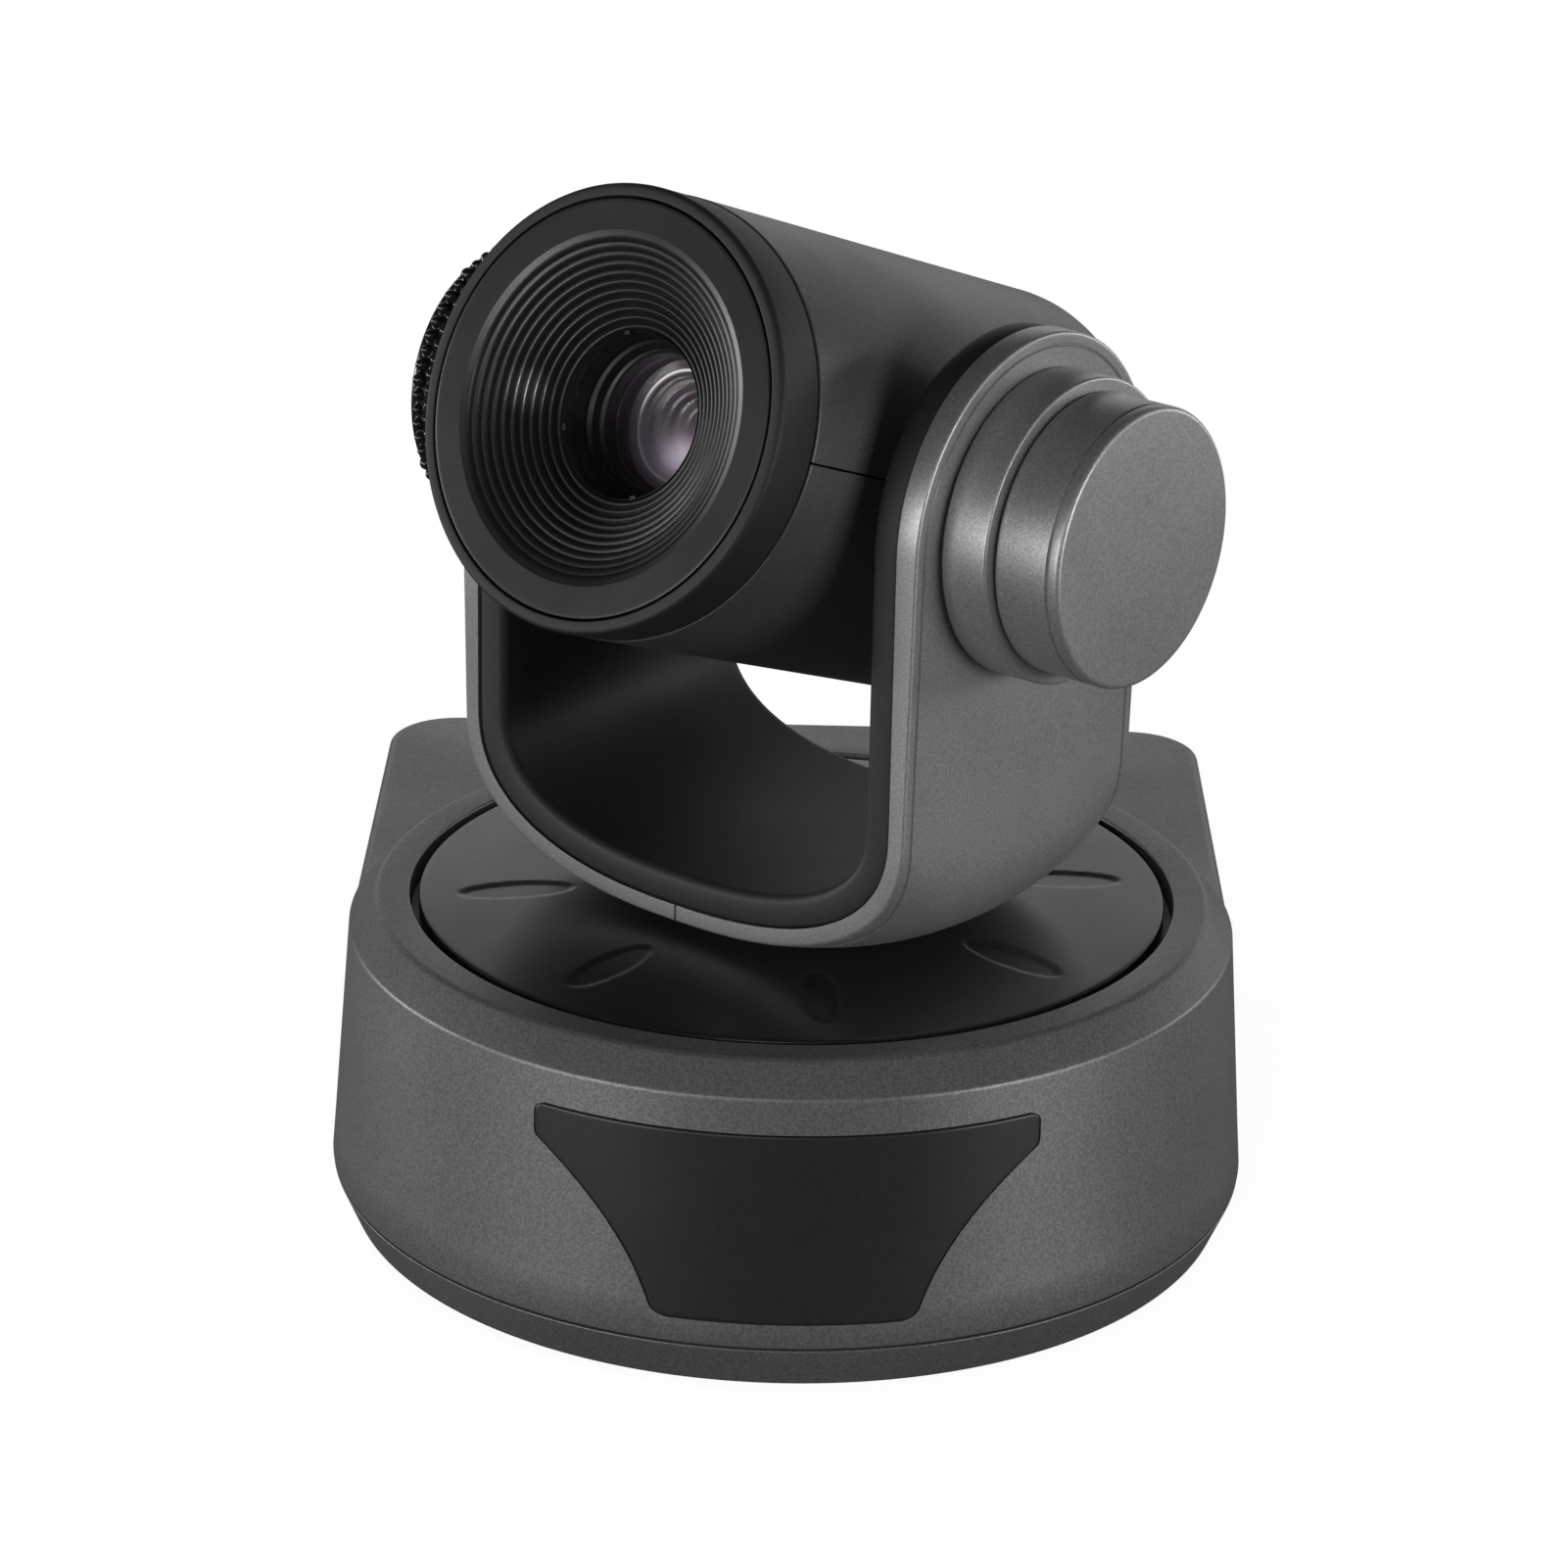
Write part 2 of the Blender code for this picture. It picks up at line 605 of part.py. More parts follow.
def fork_roundness(depth):
    """The bowl is round at its front and back edges and fuller in the middle."""
    share = (depth / FORK_HALF_DEPTH) ** 2
    return ROUND_MIDDLE - (ROUND_MIDDLE - ROUND_EDGE) * share


def bowl_floor(depth):
    """Underside of the bowl: it rises by a millimetre towards the front and back edges."""
    return FORK_FLOOR + (depth / FORK_HALF_DEPTH) ** 2


def fork_half_line(half_width, floor, roundness, top, start, count, flare=0.0):
    """Half of a U section as (x, height), from near the middle plane up to the arm's top."""
    points = []
    for i in range(count + 1):
        t = math.pi / 2 * i / count
        x = half_width * math.sin(t) ** (2 / roundness)
        points.append((x, FORK_SHOULDER - (FORK_SHOULDER - floor) * math.cos(t) ** (2 / roundness)))
    points[0] = (start, points[0][1])
    lean = flare * (top - FORK_SHOULDER) / (arch_top(0, FORK_HALF_DEPTH) - FORK_SHOULDER)
    points.append((half_width + lean, top))
    return points


def fork_stations(half_depth, count=13):
    return [half_depth * math.sin(math.pi * (i / count - 0.5)) for i in range(count + 1)]


def skin_line(depth, inset, start, half_depth=FORK_HALF_DEPTH, flare=0.0):
    """Section of the fork's outer skin, moved inward by an inset."""
    return fork_half_line(FORK_HALF_WIDTH - inset, bowl_floor(depth) + inset, fork_roundness(depth),
                          arch_top(depth, half_depth), start, BOWL_STEPS, flare)


def channel_line(depth, half_width, floor, half_depth, count):
    """Section of the even channel that forms the inside of the fork."""
    return fork_half_line(half_width, floor, ROUND_EDGE, arch_top(depth, half_depth), 0.0, count)


def half_section(outer, inner, side, depth):
    loop = outer + list(reversed(inner))
    return [(side * x, -depth, level(z)) for x, z in loop]


def full_section(outer, inner, depth):
    outer_loop = [(-x, z) for x, z in reversed(outer)] + outer[1:]
    inner_loop = inner[::-1] + [(-x, z) for x, z in inner[1:]]
    return [(x, -depth, level(z)) for x, z in outer_loop + inner_loop]


def side_bore(name, radius, pan, side):
    """A cutter along the tilt axis through one arm."""
    rotation = ALONG_RIGHT if side > 0 else ALONG_LEFT
    spot = (0, 0, level(TILT_HEIGHT))
    return as_cutter(cylinder(name, radius, LINER_HALF_GAP - 7, FORK_HALF_WIDTH + 7), pan, spot, rotation)


def fork_shells(mats, pan):
    """Grey outer skins of the fork, split in its middle plane."""
    for name, side in (("fork_shell_right", 1), ("fork_shell_left", -1)):
        sections = []
        for y in fork_stations(FORK_HALF_DEPTH):
            outer = skin_line(y, 0, GAP / 2, flare=ARM_FLARE)
            inner = skin_line(y, FORK_SKIN, GAP / 2)
            sections.append(half_section(outer, inner, side, y))
        shell = place(loft(name, sections, cap="strip"), mats["grey"], pan)
        neck = cylinder(name + "_neck", SHAFT_RADIUS + GAP, level(40), level(52))
        boolean(shell, as_cutter(neck, pan))
        boolean(shell, side_bore(name + "_bore", BEARING_OUTER + GAP, pan, side))


def channel_sections(outer_line, half_gap, floor, depth):
    """Closed U sections between an outer line and an even channel."""
    sections = []
    for y in fork_stations(depth):
        inner = channel_line(y, half_gap, floor, depth, BOWL_STEPS)
        sections.append(full_section(outer_line(y), inner, y))
    return sections


def fork_liner(mats, pan):
    """Black lining of the fork: a hollow U that is open towards the skins."""
    depth = FORK_HALF_DEPTH - 0.2
    sections = channel_sections(lambda y: skin_line(y, FORK_SKIN + GAP, 0.0, depth),
                                LINER_HALF_GAP, LINER_FLOOR, depth)
    liner = place(loft("fork_liner", sections, cap="strip"), mats["black"], pan)
    inner_depth = depth - LINER_WALL
    sections = channel_sections(lambda y: skin_line(y, FORK_SKIN - 1.2, 0.0, inner_depth),
                                LINER_HALF_GAP + LINER_WALL, LINER_FLOOR - LINER_WALL, inner_depth)
    boolean(liner, as_cutter(loft("liner_cavity", sections, cap="strip"), pan))
    for name, side in (("liner_bore_left", -1), ("liner_bore_right", 1)):
        boolean(liner, side_bore(name, BOSS_RADIUS + GAP, pan, side))


def fork_frame(mats, pan):
    """Metal U between skins and liner that carries the tilt bearings."""
    depth, steps = 12.0, 6
    outer_half, outer_floor, thickness = 35.5, 51.7, 1.1
    sections = []
    for y in fork_stations(depth, 7):
        outer = channel_line(y, outer_half, outer_floor, depth, steps)
        inner = channel_line(y, outer_half - thickness, outer_floor + thickness, depth, steps)
        sections.append(full_section(outer, inner, y))
    frame = place(loft("fork_frame", sections, cap="strip"), mats["metal"], pan)
    for name, side in (("frame_bore_left", -1), ("frame_bore_right", 1)):
        boolean(frame, side_bore(name, BEARING_OUTER + GAP, pan, side))


def hub(name, finish, rotation, cap_radius, cap_end, pan):
    """Round boss and cap on one arm, turned about the tilt axis."""
    spot = (0, 0, level(TILT_HEIGHT))
    edge = 0.5
    base = [(HUB_BORE, HUB_STEP), (HUB_RADIUS - edge, HUB_STEP), (HUB_RADIUS, HUB_STEP - edge),
            (HUB_RADIUS, HUB_START), (HUB_BORE, HUB_START)]
    place(turned("hub_base_" + name, base, MID_STEPS), finish, pan, spot, rotation)
    start = HUB_STEP + GAP
    inner_end = cap_end - 1.8
    cap = [(0, cap_end), (cap_radius - 1.1, cap_end), (cap_radius - 0.3, cap_end - 0.3),
           (cap_radius, cap_end - 1.1), (cap_radius, start), (HUB_BORE, start),
           (HUB_BORE, inner_end), (0, inner_end)]
    place(turned("hub_cap_" + name, cap, MID_STEPS, closed=False), finish, pan, spot, rotation)


def tilt_drive(mats, pan):
    spot = (0, 0, level(TILT_HEIGHT))
    for name, rotation in (("right", ALONG_RIGHT), ("left", ALONG_LEFT)):
        bearing = ring("tilt_bearing_" + name, JOURNAL_RADIUS + GAP, BEARING_OUTER, BEARING_START,
                       BEARING_END, SMALL_STEPS)
        place(bearing, mats["steel"], pan, spot, rotation)
    motor = ring("tilt_motor", MOTOR_SHAFT_RADIUS + GAP, HUB_BORE - 1.0, TILT_MOTOR_START, TILT_MOTOR_END,
                 MID_STEPS)
    place(motor, mats["steel"], pan, spot, ALONG_RIGHT)


# ---------------------------------------------------------------- head
def dome_depth(radius):
    """How far back the rear dome reaches: a ball about the tilt axis, so it clears the fork."""
    return -math.sqrt(REAR_REACH ** 2 - (radius - LENS_RISE) ** 2)


def shell_profile():
    """Half section of the tubular shell with its domed rear end."""
    front, corner = RING_BACK - GAP, -REAR_STRAIGHT
    inner_radius = HEAD_RADIUS - HEAD_WALL
    outer = [(HEAD_RADIUS, front), (HEAD_RADIUS, corner), (HEAD_RADIUS - 0.5, corner - 1.6),
             (HEAD_RADIUS - 1.7, corner - 2.8)]
    outer += [(radius, dome_depth(radius)) for radius in (25.0, 20.0, 14.0, 7.0, 0.0)]
    inner = [(radius, dome_depth(radius) + HEAD_WALL) for radius in (0.0, 10.0, 20.0, 24.0)]
    inner += [(inner_radius, corner), (inner_radius, front)]
    return outer + inner


def head_shells(mats, tilt):
    """Upper and lower half of the shell, parted at the level of the lens axis."""
    spot = (0, 0, LENS_RISE)
    far = 60
    for name, side in (("head_shell_upper", 1), ("head_shell_lower", -1)):
        shell = place(turned(name, shell_profile(), BIG_STEPS), mats["grey"], tilt, spot, ALONG_FORWARD)
        edge = side * GAP / 2 + LENS_RISE
        low, high = sorted((edge, edge - side * far))
        boolean(shell, as_cutter(box(name + "_half", (-far, -far, low), (far, far, high)), tilt))
        bore = cylinder(name + "_bore", BOSS_RADIUS + GAP, -HEAD_RADIUS - 10, HEAD_RADIUS + 10)
        boolean(shell, as_cutter(bore, tilt, ORIGIN, ALONG_RIGHT))


def rib_profile():
    """Front face and stepped cone of the baffle, from its rim inward to the bore."""
    rim = SEAM_RADIUS - GAP / 2
    points = [(rim, RING_FRONT - 0.3), (rim - 0.25, RING_FRONT), (RECESS_RADIUS, RING_FRONT)]
    width = (RECESS_RADIUS - BORE_RADIUS) / RIBS
    drop = (RING_FRONT - RECESS_FLOOR) / RIBS
    for i in range(RIBS):
        radius, height = RECESS_RADIUS - width * i, RING_FRONT - drop * (i + 1)
        points += [(radius - 0.15 * width, height), (radius - width, height)]
    return points


def lens_front(mats, tilt):
    """Outer ring and ribbed baffle, with a fine seam between them."""
    spot = (0, 0, LENS_RISE)
    inner, outer = SEAM_RADIUS + GAP / 2, HEAD_RADIUS - 0.1
    ring_profile = [(inner, RING_FRONT - 0.2), (inner + 0.25, RING_FRONT), (outer - 0.9, RING_FRONT),
                    (outer - 0.25, RING_FRONT - 0.3), (outer, RING_FRONT - 1.0), (outer, RING_BACK),
                    (inner, RING_BACK)]
    place(turned("lens_ring", ring_profile, BIG_STEPS), mats["black"], tilt, spot, ALONG_FORWARD)
    under = RECESS_FLOOR - 1.6
    back = [(SEAM_RADIUS - GAP / 2, RING_BACK + 1.0), (BORE_RADIUS + 6.0, under), (BORE_RADIUS, under)]
    place(turned("lens_baffle", rib_profile()[::-1] + back, RIB_STEPS), mats["black"], tilt, spot,
          ALONG_FORWARD)


def optics(mats, tilt):
    """Barrel, front lens and the two sliding lens cells, all on the lens axis."""
    spot = (0, 0, LENS_RISE)
    top = RECESS_FLOOR - 1.6 - GAP
    collar, mouth, seat, throat = 10.4, 9.5, 26.5, 8.3
    barrel = [(mouth, 34.7), (collar, 34.9), (collar, top), (BARREL_RADIUS, top),
              (BARREL_RADIUS, BARREL_BACK), (BARREL_BORE, BARREL_BACK), (BARREL_BORE, seat),
              (throat, seat + 0.1), (throat, 28.6)]
    place(turned("lens_barrel", barrel, MID_STEPS), mats["black"], tilt, spot, ALONG_FORWARD)
    radius, bulge = throat - GAP, 2.6
    dome = [(radius * math.sin(turn), LENS_LEVEL + bulge * math.cos(turn))
            for turn in (0, 0.5, 1.0, 1.3, math.pi / 2)]
    back = LENS_LEVEL - 4.1
    lens = dome + [(LENS_RIM, LENS_LEVEL), (LENS_RIM, back), (0, back)]
    place(turned("front_lens", lens, MID_STEPS, closed=False), mats["glass"], tilt, spot, ALONG_FORWARD)
    for name, low, high in (("zoom_group", 8.0, 12.0), ("focus_group", -6.0, -3.0)):
        place(lens_cell(name, low, high), mats["glass"], tilt, spot, ALONG_FORWARD)


def lens_cell(name, low, high):
    """A sliding cell: a rim with a thinner lens across it."""
    middle = (low + high) / 2
    lens, thin, thick = 5.5, 0.6, 0.9
    cell = [(0, middle + thick), (lens, middle + thin), (lens, high), (CELL_RADIUS, high),
            (CELL_RADIUS, low), (lens, low), (lens, middle - thin), (0, middle - thick)]
    return turned(name, cell, MID_STEPS, closed=False)


def head_fittings(mats, tilt):
    """Lens motors, chassis ring and sensor board inside the head."""
    front, step, back = 22.0, 18.0, 5.0
    shaft, body = 1.0, 4.0
    motor = [(0, front), (shaft, front), (shaft, step), (body, step), (body, back), (0, back)]
    for name, x in (("zoom_motor", -11.0), ("focus_motor", 11.0)):
        place(turned(name, motor, SMALL_STEPS, closed=False), mats["steel"], tilt,
              (x, 0, LENS_RISE - 14.5), ALONG_FORWARD)
    chassis = ring("head_chassis", BARREL_RADIUS + GAP, 19.8, -3.0, 2.0, MID_STEPS)
    place(chassis, mats["metal"], tilt, (0, 0, LENS_RISE), ALONG_FORWARD)
    half, front, back = 14, 16.4, 18.0
    sensor = place(box("sensor_board", (-half, front, LENS_RISE - half), (half, back, LENS_RISE + half)),
                   mats["board"], tilt)
    chip = as_cutter(box("sensor_chip", (-20 / 3, front - 0.2, LENS_RISE - 5),
                         (20 / 3, front + 0.6, LENS_RISE + 5)), tilt)
    boolean(sensor, chip, "UNION")


def trunnions(mats, tilt):
    """Stub shafts on which the head tilts; the right-hand one reaches into the motor."""
    foot, foot_back, journal_end = 10.5, 20.4, 38.6
    for name, rotation, shaft_end in (("trunnion_right", ALONG_RIGHT, 52.5),
                                      ("trunnion_left", ALONG_LEFT, 42.0)):
        profile = [(0, shaft_end), (MOTOR_SHAFT_RADIUS, shaft_end), (MOTOR_SHAFT_RADIUS, journal_end),
                   (JOURNAL_RADIUS, journal_end), (JOURNAL_RADIUS, BOSS_END), (BOSS_RADIUS, BOSS_END),
                   (BOSS_RADIUS, BOSS_START + 0.4), (foot, BOSS_START), (foot, foot_back), (0, foot_back)]
        place(turned(name, profile, SMALL_STEPS, closed=False), mats["steel"], tilt, ORIGIN, rotation)


# ---------------------------------------------------------------- assembly
def empty(name, location, rotation, parent=None):
    obj = bpy.data.objects.new(name, None)
    obj.location = [value * MM for value in location]
    obj.rotation_euler = rotation
    obj.parent = parent
    PARTS.objects.link(obj)
    return obj


def build():
    mats = {
        "grey": material("grey_paint", (0.155, 0.155, 0.158), 0.45, 0.35),
        "black": material("black_plastic", (0.022, 0.022, 0.023), 0.5),
        "gloss": material("window_plastic", (0.016, 0.016, 0.017), 0.15),
        "rubber": material("rubber", (0.03, 0.03, 0.03), 0.85),
        "steel": material("bright_steel", (0.55, 0.55, 0.56), 0.35, 1.0),
        "metal": material("sheet_metal", (0.6, 0.6, 0.6), 0.45, 1.0),
        "brass": material("brass", (0.6, 0.45, 0.2), 0.35, 1.0),
        "board": material("circuit_board", (0.02, 0.12, 0.05), 0.5),
        "glass": material("coated_glass", (0.25, 0.18, 0.28), 0.05, 0.0, 0.6),
    }
    pan = empty("pan_axis", ORIGIN, (0, 0, math.radians(PAN_REST)))
    tilt = empty("tilt_axis", (0, 0, level(TILT_HEIGHT)), (math.radians(-TILT_REST), 0, 0), pan)
    base_shell(mats["grey"])
    bottom_cover(mats["grey"])
    base_fittings(mats)
    ir_window(mats["gloss"])
    rear_panel(mats)
    boards(mats)
    pan_drive(mats)
    turntable(mats, pan)
    pan_spindle(mats, pan)
    fork_shells(mats, pan)
    fork_liner(mats, pan)
    fork_frame(mats, pan)
    hub("right", mats["grey"], ALONG_RIGHT, CAP_RADIUS, CAP_END, pan)
    hub("left", mats["black"], ALONG_LEFT, LEFT_CAP_RADIUS, LEFT_CAP_END, pan)
    tilt_drive(mats, pan)
    head_shells(mats, tilt)
    lens_front(mats, tilt)
    optics(mats, tilt)
    head_fittings(mats, tilt)
    trunnions(mats, tilt)


clear_scene()
PARTS = new_collection(COLLECTION_NAME)
CUTTERS = new_collection("cutters")
build()
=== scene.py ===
"""Looks of the desktop pan-tilt-zoom camera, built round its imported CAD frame.

The housings, fork, hubs and lens front are rebuilt here finer than in the CAD, on the same
dimensions. Everything else keeps its CAD mesh and gets a procedural finish. Lengths are in
millimetres until a mesh is made, and heights start at the housing's lower edge unless level()
has been applied. Home pose: the front looks along -Y and +X is to the right.
"""
import json
import math

import bmesh
import bpy
import numpy as np
from mathutils import Matrix, Vector


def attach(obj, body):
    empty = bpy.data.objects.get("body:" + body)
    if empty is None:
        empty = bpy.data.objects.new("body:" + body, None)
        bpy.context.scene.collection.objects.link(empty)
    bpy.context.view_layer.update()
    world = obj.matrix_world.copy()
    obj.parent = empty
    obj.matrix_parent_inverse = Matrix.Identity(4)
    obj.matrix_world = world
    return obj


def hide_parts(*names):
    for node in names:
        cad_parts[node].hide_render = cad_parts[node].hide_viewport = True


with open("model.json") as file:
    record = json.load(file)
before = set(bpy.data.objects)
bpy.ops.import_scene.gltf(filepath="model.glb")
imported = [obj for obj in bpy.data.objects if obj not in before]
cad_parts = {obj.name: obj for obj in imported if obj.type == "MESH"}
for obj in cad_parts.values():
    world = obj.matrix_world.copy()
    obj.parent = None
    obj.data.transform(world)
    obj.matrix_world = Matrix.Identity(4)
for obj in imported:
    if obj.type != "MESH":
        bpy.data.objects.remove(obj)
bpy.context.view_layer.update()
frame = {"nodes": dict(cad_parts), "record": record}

# ---------------------------------------------------------------- dimensions (millimetres)
MM = 0.001
GAP = 0.3                      # clearance between neighbouring pieces
PAD_PROUD = 1.2                # the rubber pad lifts the housing off the floor

BASE_RADIUS = 64.0             # the round drum, at the foot of its wall
BLOCK_HALF = 63.7              # half the width of the rear block that joins the drum
BLOCK_BACK = 78.3
BLOCK_CORNER = 11.0
BLOCK_TOP = 41.2
BLOCK_EDGE = 1.5
WALL_FOOT = 6.5
WALL_TOP = 40.9
WALL_DRAFT = 2.6               # inset of the wall at its top
WALL_LEVELS = (12, 18, 24, 30, 36)
FOOT_ROUND = ((0.35, 0.0), (0.08, 0.08), (0.0, 0.35))      # inset and rise round the wall's foot
DECK_TOP = 45.1
DECK_INSET = 6.4               # inset of the drum at the top of its bevel
RIM_EDGE = 0.3
WALL = 2.2
WELL_RADIUS = 53.0
WELL_FLOOR = 41.5
WELL_BORE = 40.0

FOOT_INSET = 2.7               # the lower edge of the tray is this much smaller
TRAY_HEIGHT = 6.2
TRAY_FLOOR = 4.2
CUT_TOP = 9.0                  # cutters of the tray reach from CUT_LOW up to here
CUT_LOW = -1.0
PAD_RADIUS = 30.0
PAD_POCKET = 0.8               # the tray takes in this much of the pad
BUSH_RADIUS = 5.0
BUSH_BACK = 42.0
SCREW_HOLE = 1.9
SCREW_SINK = 3.3               # radius of the sink round a screw's head
SCREW_LEVEL = 3.3              # the head sits this high above the floor
SCREW_PLACES = ((-46, -24), (46, -24), (-50, 50), (50, 50))

WINDOW_TOP = 36.0
WINDOW_SHOULDER = 31.5         # upright sides above, curved sides below
WINDOW_MIDDLE = 23.0           # control level of the curved sides
WINDOW_CURVE_END = 12.0
WINDOW_FOOT = 10.0
WINDOW_WIDE = 32.9             # half widths at those levels
WINDOW_WAIST = 21.6
WINDOW_NARROW = 17.8
WINDOW_TOP_CORNER = 1.4
WINDOW_FOOT_CORNER = 2.4
WINDOW_GAP = 0.14
WINDOW_PROUD = 0.12
WINDOW_EDGE = 0.3
WINDOW_THICK = 1.6

PANEL_HALF = 47.0              # the rear panel
PANEL_LOW = 11.0
PANEL_HIGH = 35.0
PANEL_INSET = 2.5
SOCKET_PROUD = 0.6
SOCKET_LENGTH = 8.4
SOCKET_DEPTH = 6.0
SOCKET_WALL = 1.0
PIN_RADIUS = 0.9
PIN_SINK = 0.9                 # the centre pin ends this far inside
ROUND_SOCKETS = (("dc_jack", 4.0, -34.0), ("serial_port_in", 5.0, 14.0), ("serial_port_out", 5.0, 32.0))

DISC_RADIUS = 51.7
DISC_EDGE_TOP = 44.9
DISC_DOME = 1.5                # rise from the rim to the middle
DISC_UNDERSIDE = 42.6
DISC_COLUMNS = 480
DIMPLES = 8
DIMPLE_RADIUS = 38.3
DIMPLE_LENGTH = 16.6
DIMPLE_WIDTH = 5.6
DIMPLE_DEPTH = 0.28
SHAFT_RADIUS = 12.0

TILT_HEIGHT = 107.8            # tilt axis above the housing's lower edge
FORK_HALF_WIDTH = 38.5
FORK_HALF_DEPTH = 25.0
FORK_FLOOR = 46.8              # underside of the bowl in the middle
FORK_SHOULDER = 70.0           # above this the arms are straight
ARM_FLARE = 1.2                # the outer faces lean out by this much at the arms' tops
FORK_SKIN = 2.4
FORK_EDGE = 0.42               # roundness of the skins' rims
GROOVE_AT = 1.75               # fine groove near the rim of the fork's skins
GROOVE_HALF = 0.24
GROOVE_DEPTH = 0.32
LINER_HALF_GAP = 31.7          # inner faces of the arms
LINER_FLOOR = 54.6
LINER_SETBACK = 0.2
LINER_OUTER_EDGE = 0.3
LINER_EDGE = 1.3
ROUND_EDGE = 2.4               # superellipse exponent of the fork at its front and back
ROUND_MIDDLE = 4.3             # and half way between them
GROOVE_STEPS = [-0.5, -0.24, -0.2, -0.1, 0.0, 0.1, 0.2, 0.24, 0.5]
SKIN_STEPS = [0.0, 0.05, 0.13, 0.25, 0.42, 0.8]            # lines of a skin, from its rim inward
MIDDLE_STEPS = [3.0, 5.0, 8.0, 11.5, 15.0, 19.0, 23.0]
LINER_STEPS = [0.0, 0.1, 0.25, 0.5, 0.85, 1.3, 1.6]

LENS_RISE = 0.45               # the lens axis passes just above the tilt axis
HEAD_RADIUS = 29.2
HEAD_WALL = 2.0
HEAD_SEAM = 0.28               # degrees left out of a half shell at each end
RING_BACK = 36.85              # lens ring, from the tilt axis
RING_FRONT = 44.5
SEAM_RADIUS = 27.2
SEAM_HALF_GAP = 0.12
RECESS_RADIUS = 22.5
BORE_RADIUS = 10.9
RECESS_FLOOR = 37.8
RIBS = 11
RIB_DEPTH = 0.12               # depth of the first rib, and how much more the last has
RIB_GROWTH = 0.42
LUG_TURNS = (20, 110, 200, 290)                            # degrees round the bore
LUG_SIZE = (0.5, 0.9, 0.8)
REAR_REACH = 50.2              # the rear dome stays this close to the tilt axis
REAR_STRAIGHT = 40.3

BARREL_RADIUS = 12.5
BARREL_BORE = 9.0
BARREL_BACK = -16.0
RINGS_SEAT = 8.85              # outer radius of the stack of inner rings
INNER_RADIUS = 7.9
INNER_TOP = 26.6
INNER_RINGS = 6
GLASS_THICK = 0.6
GLASSES = (                    # name, radius, level of its edge, bulge, finish, CAD node it replaces
    ("front_lens_look", 8.8, 29.6, 1.7, "front_glass", "front_lens"),
    ("second_lens_look", 7.8, 27.0, 1.7, "inner_glass"),
    ("third_lens_look", 2.75, 20.7, 0.9, "deep_glass"),
)

HUB_RADIUS = 20.4
HUB_START = 39.7
HUB_STEP = 46.6
HUB_BORE = 16.6
CAP_RADIUS = 18.6
CAP_END = 56.8
CAP_EDGE = 1.5
CAP_WALL = 1.8
CAP_GROOVE_AT = 1.9            # fine groove this far from the cap's face
CAP_GROOVE = 0.25              # its depth and half its width
LEFT_CAP_FACE = 54.3
BEADS_END = 53.6
BEADS_RADIUS = 20.4            # over the beads
BEAD_HEIGHT = 1.35
BEADS = 58                     # in each line round the cap
BEAD_LINES = 3
BEAD_COLUMNS = 768
BEAD_ROWS = 60

PAN_REST = -39.0
TILT_REST = 20.8
STEPS = 180                    # segments of a visible round piece
LENS_STEPS = 160
SHARP_ANGLE = 32               # edges that turn more than this stay sharp

HOME = Matrix.Identity(4)
PAN = Matrix.Rotation(math.radians(PAN_REST), 4, "Z")
LIFT = Matrix.Translation((0, 0, (TILT_HEIGHT + PAD_PROUD) * MM))
TILT = PAN @ LIFT @ Matrix.Rotation(math.radians(-TILT_REST), 4, "X")
LENS = TILT @ Matrix.Translation((0, 0, LENS_RISE * MM)) @ Matrix.Rotation(math.pi / 2, 4, "X")
RIGHT_HUB = PAN @ LIFT @ Matrix.Rotation(math.pi / 2, 4, "Y")
LEFT_HUB = PAN @ LIFT @ Matrix.Rotation(-math.pi / 2, 4, "Y")

CAD_FINISH = {                 # finish of a CAD node by its material slot
    "grey_paint": "base", "black_plastic": "black", "window_plastic": "window", "rubber": "rubber",
    "bright_steel": "steel", "sheet_metal": "sheet", "brass": "brass", "circuit_board": "board",
    "coated_glass": "inner_glass",
}

FLOOR_SIZE = 30.0              # metres, as are the places and sizes of the lights
SOFTBOX_TARGET = (0, 0, 0.08)
SOFTBOXES = (                  # name, place, size, power
    ("left_softbox", (-1.1, -0.95, 0.14), (0.9, 0.4), 10),
    ("right_softbox", (1.2, -0.75, 0.14), (0.6, 0.4), 10),
    ("left_side_softbox", (-1.35, 0.35, 0.1), (0.5, 0.3), 7),
    ("right_side_softbox", (1.3, 0.6, 0.1), (0.5, 0.3), 4),
    ("front_softbox", (-0.22, -1.2, 0.52), (0.1, 0.3), 1.5),
    ("back_softbox", (0.1, 1.3, 0.42), (2.2, 0.6), 4),
)
GLINT_SHARE = 0.6              # the glint lamp aims this far down the ribbed cone
GLINT_POWER = 2.4
GLINT_DISTANCE = 0.25
GLINT_RADIUS = 0.0015
GLINT_ANGLE = 1.2

CAMERA_DISTANCE = 700.0
CAMERA_ELEVATION = 21.33
CAMERA_ROLL = 1.21
CAMERA_TARGET = (-1.37, 0.0, 60.52)
SENSOR = 36.0
FOCAL_SHARE = 3.2353           # focal length as a share of the picture's width


# ---------------------------------------------------------------- mesh helpers
def level(height):
    return height + PAD_PROUD


def smooth(mesh, angle=SHARP_ANGLE):
    mesh.shade_smooth()
    mesh.set_sharp_from_angle(angle=math.radians(angle))


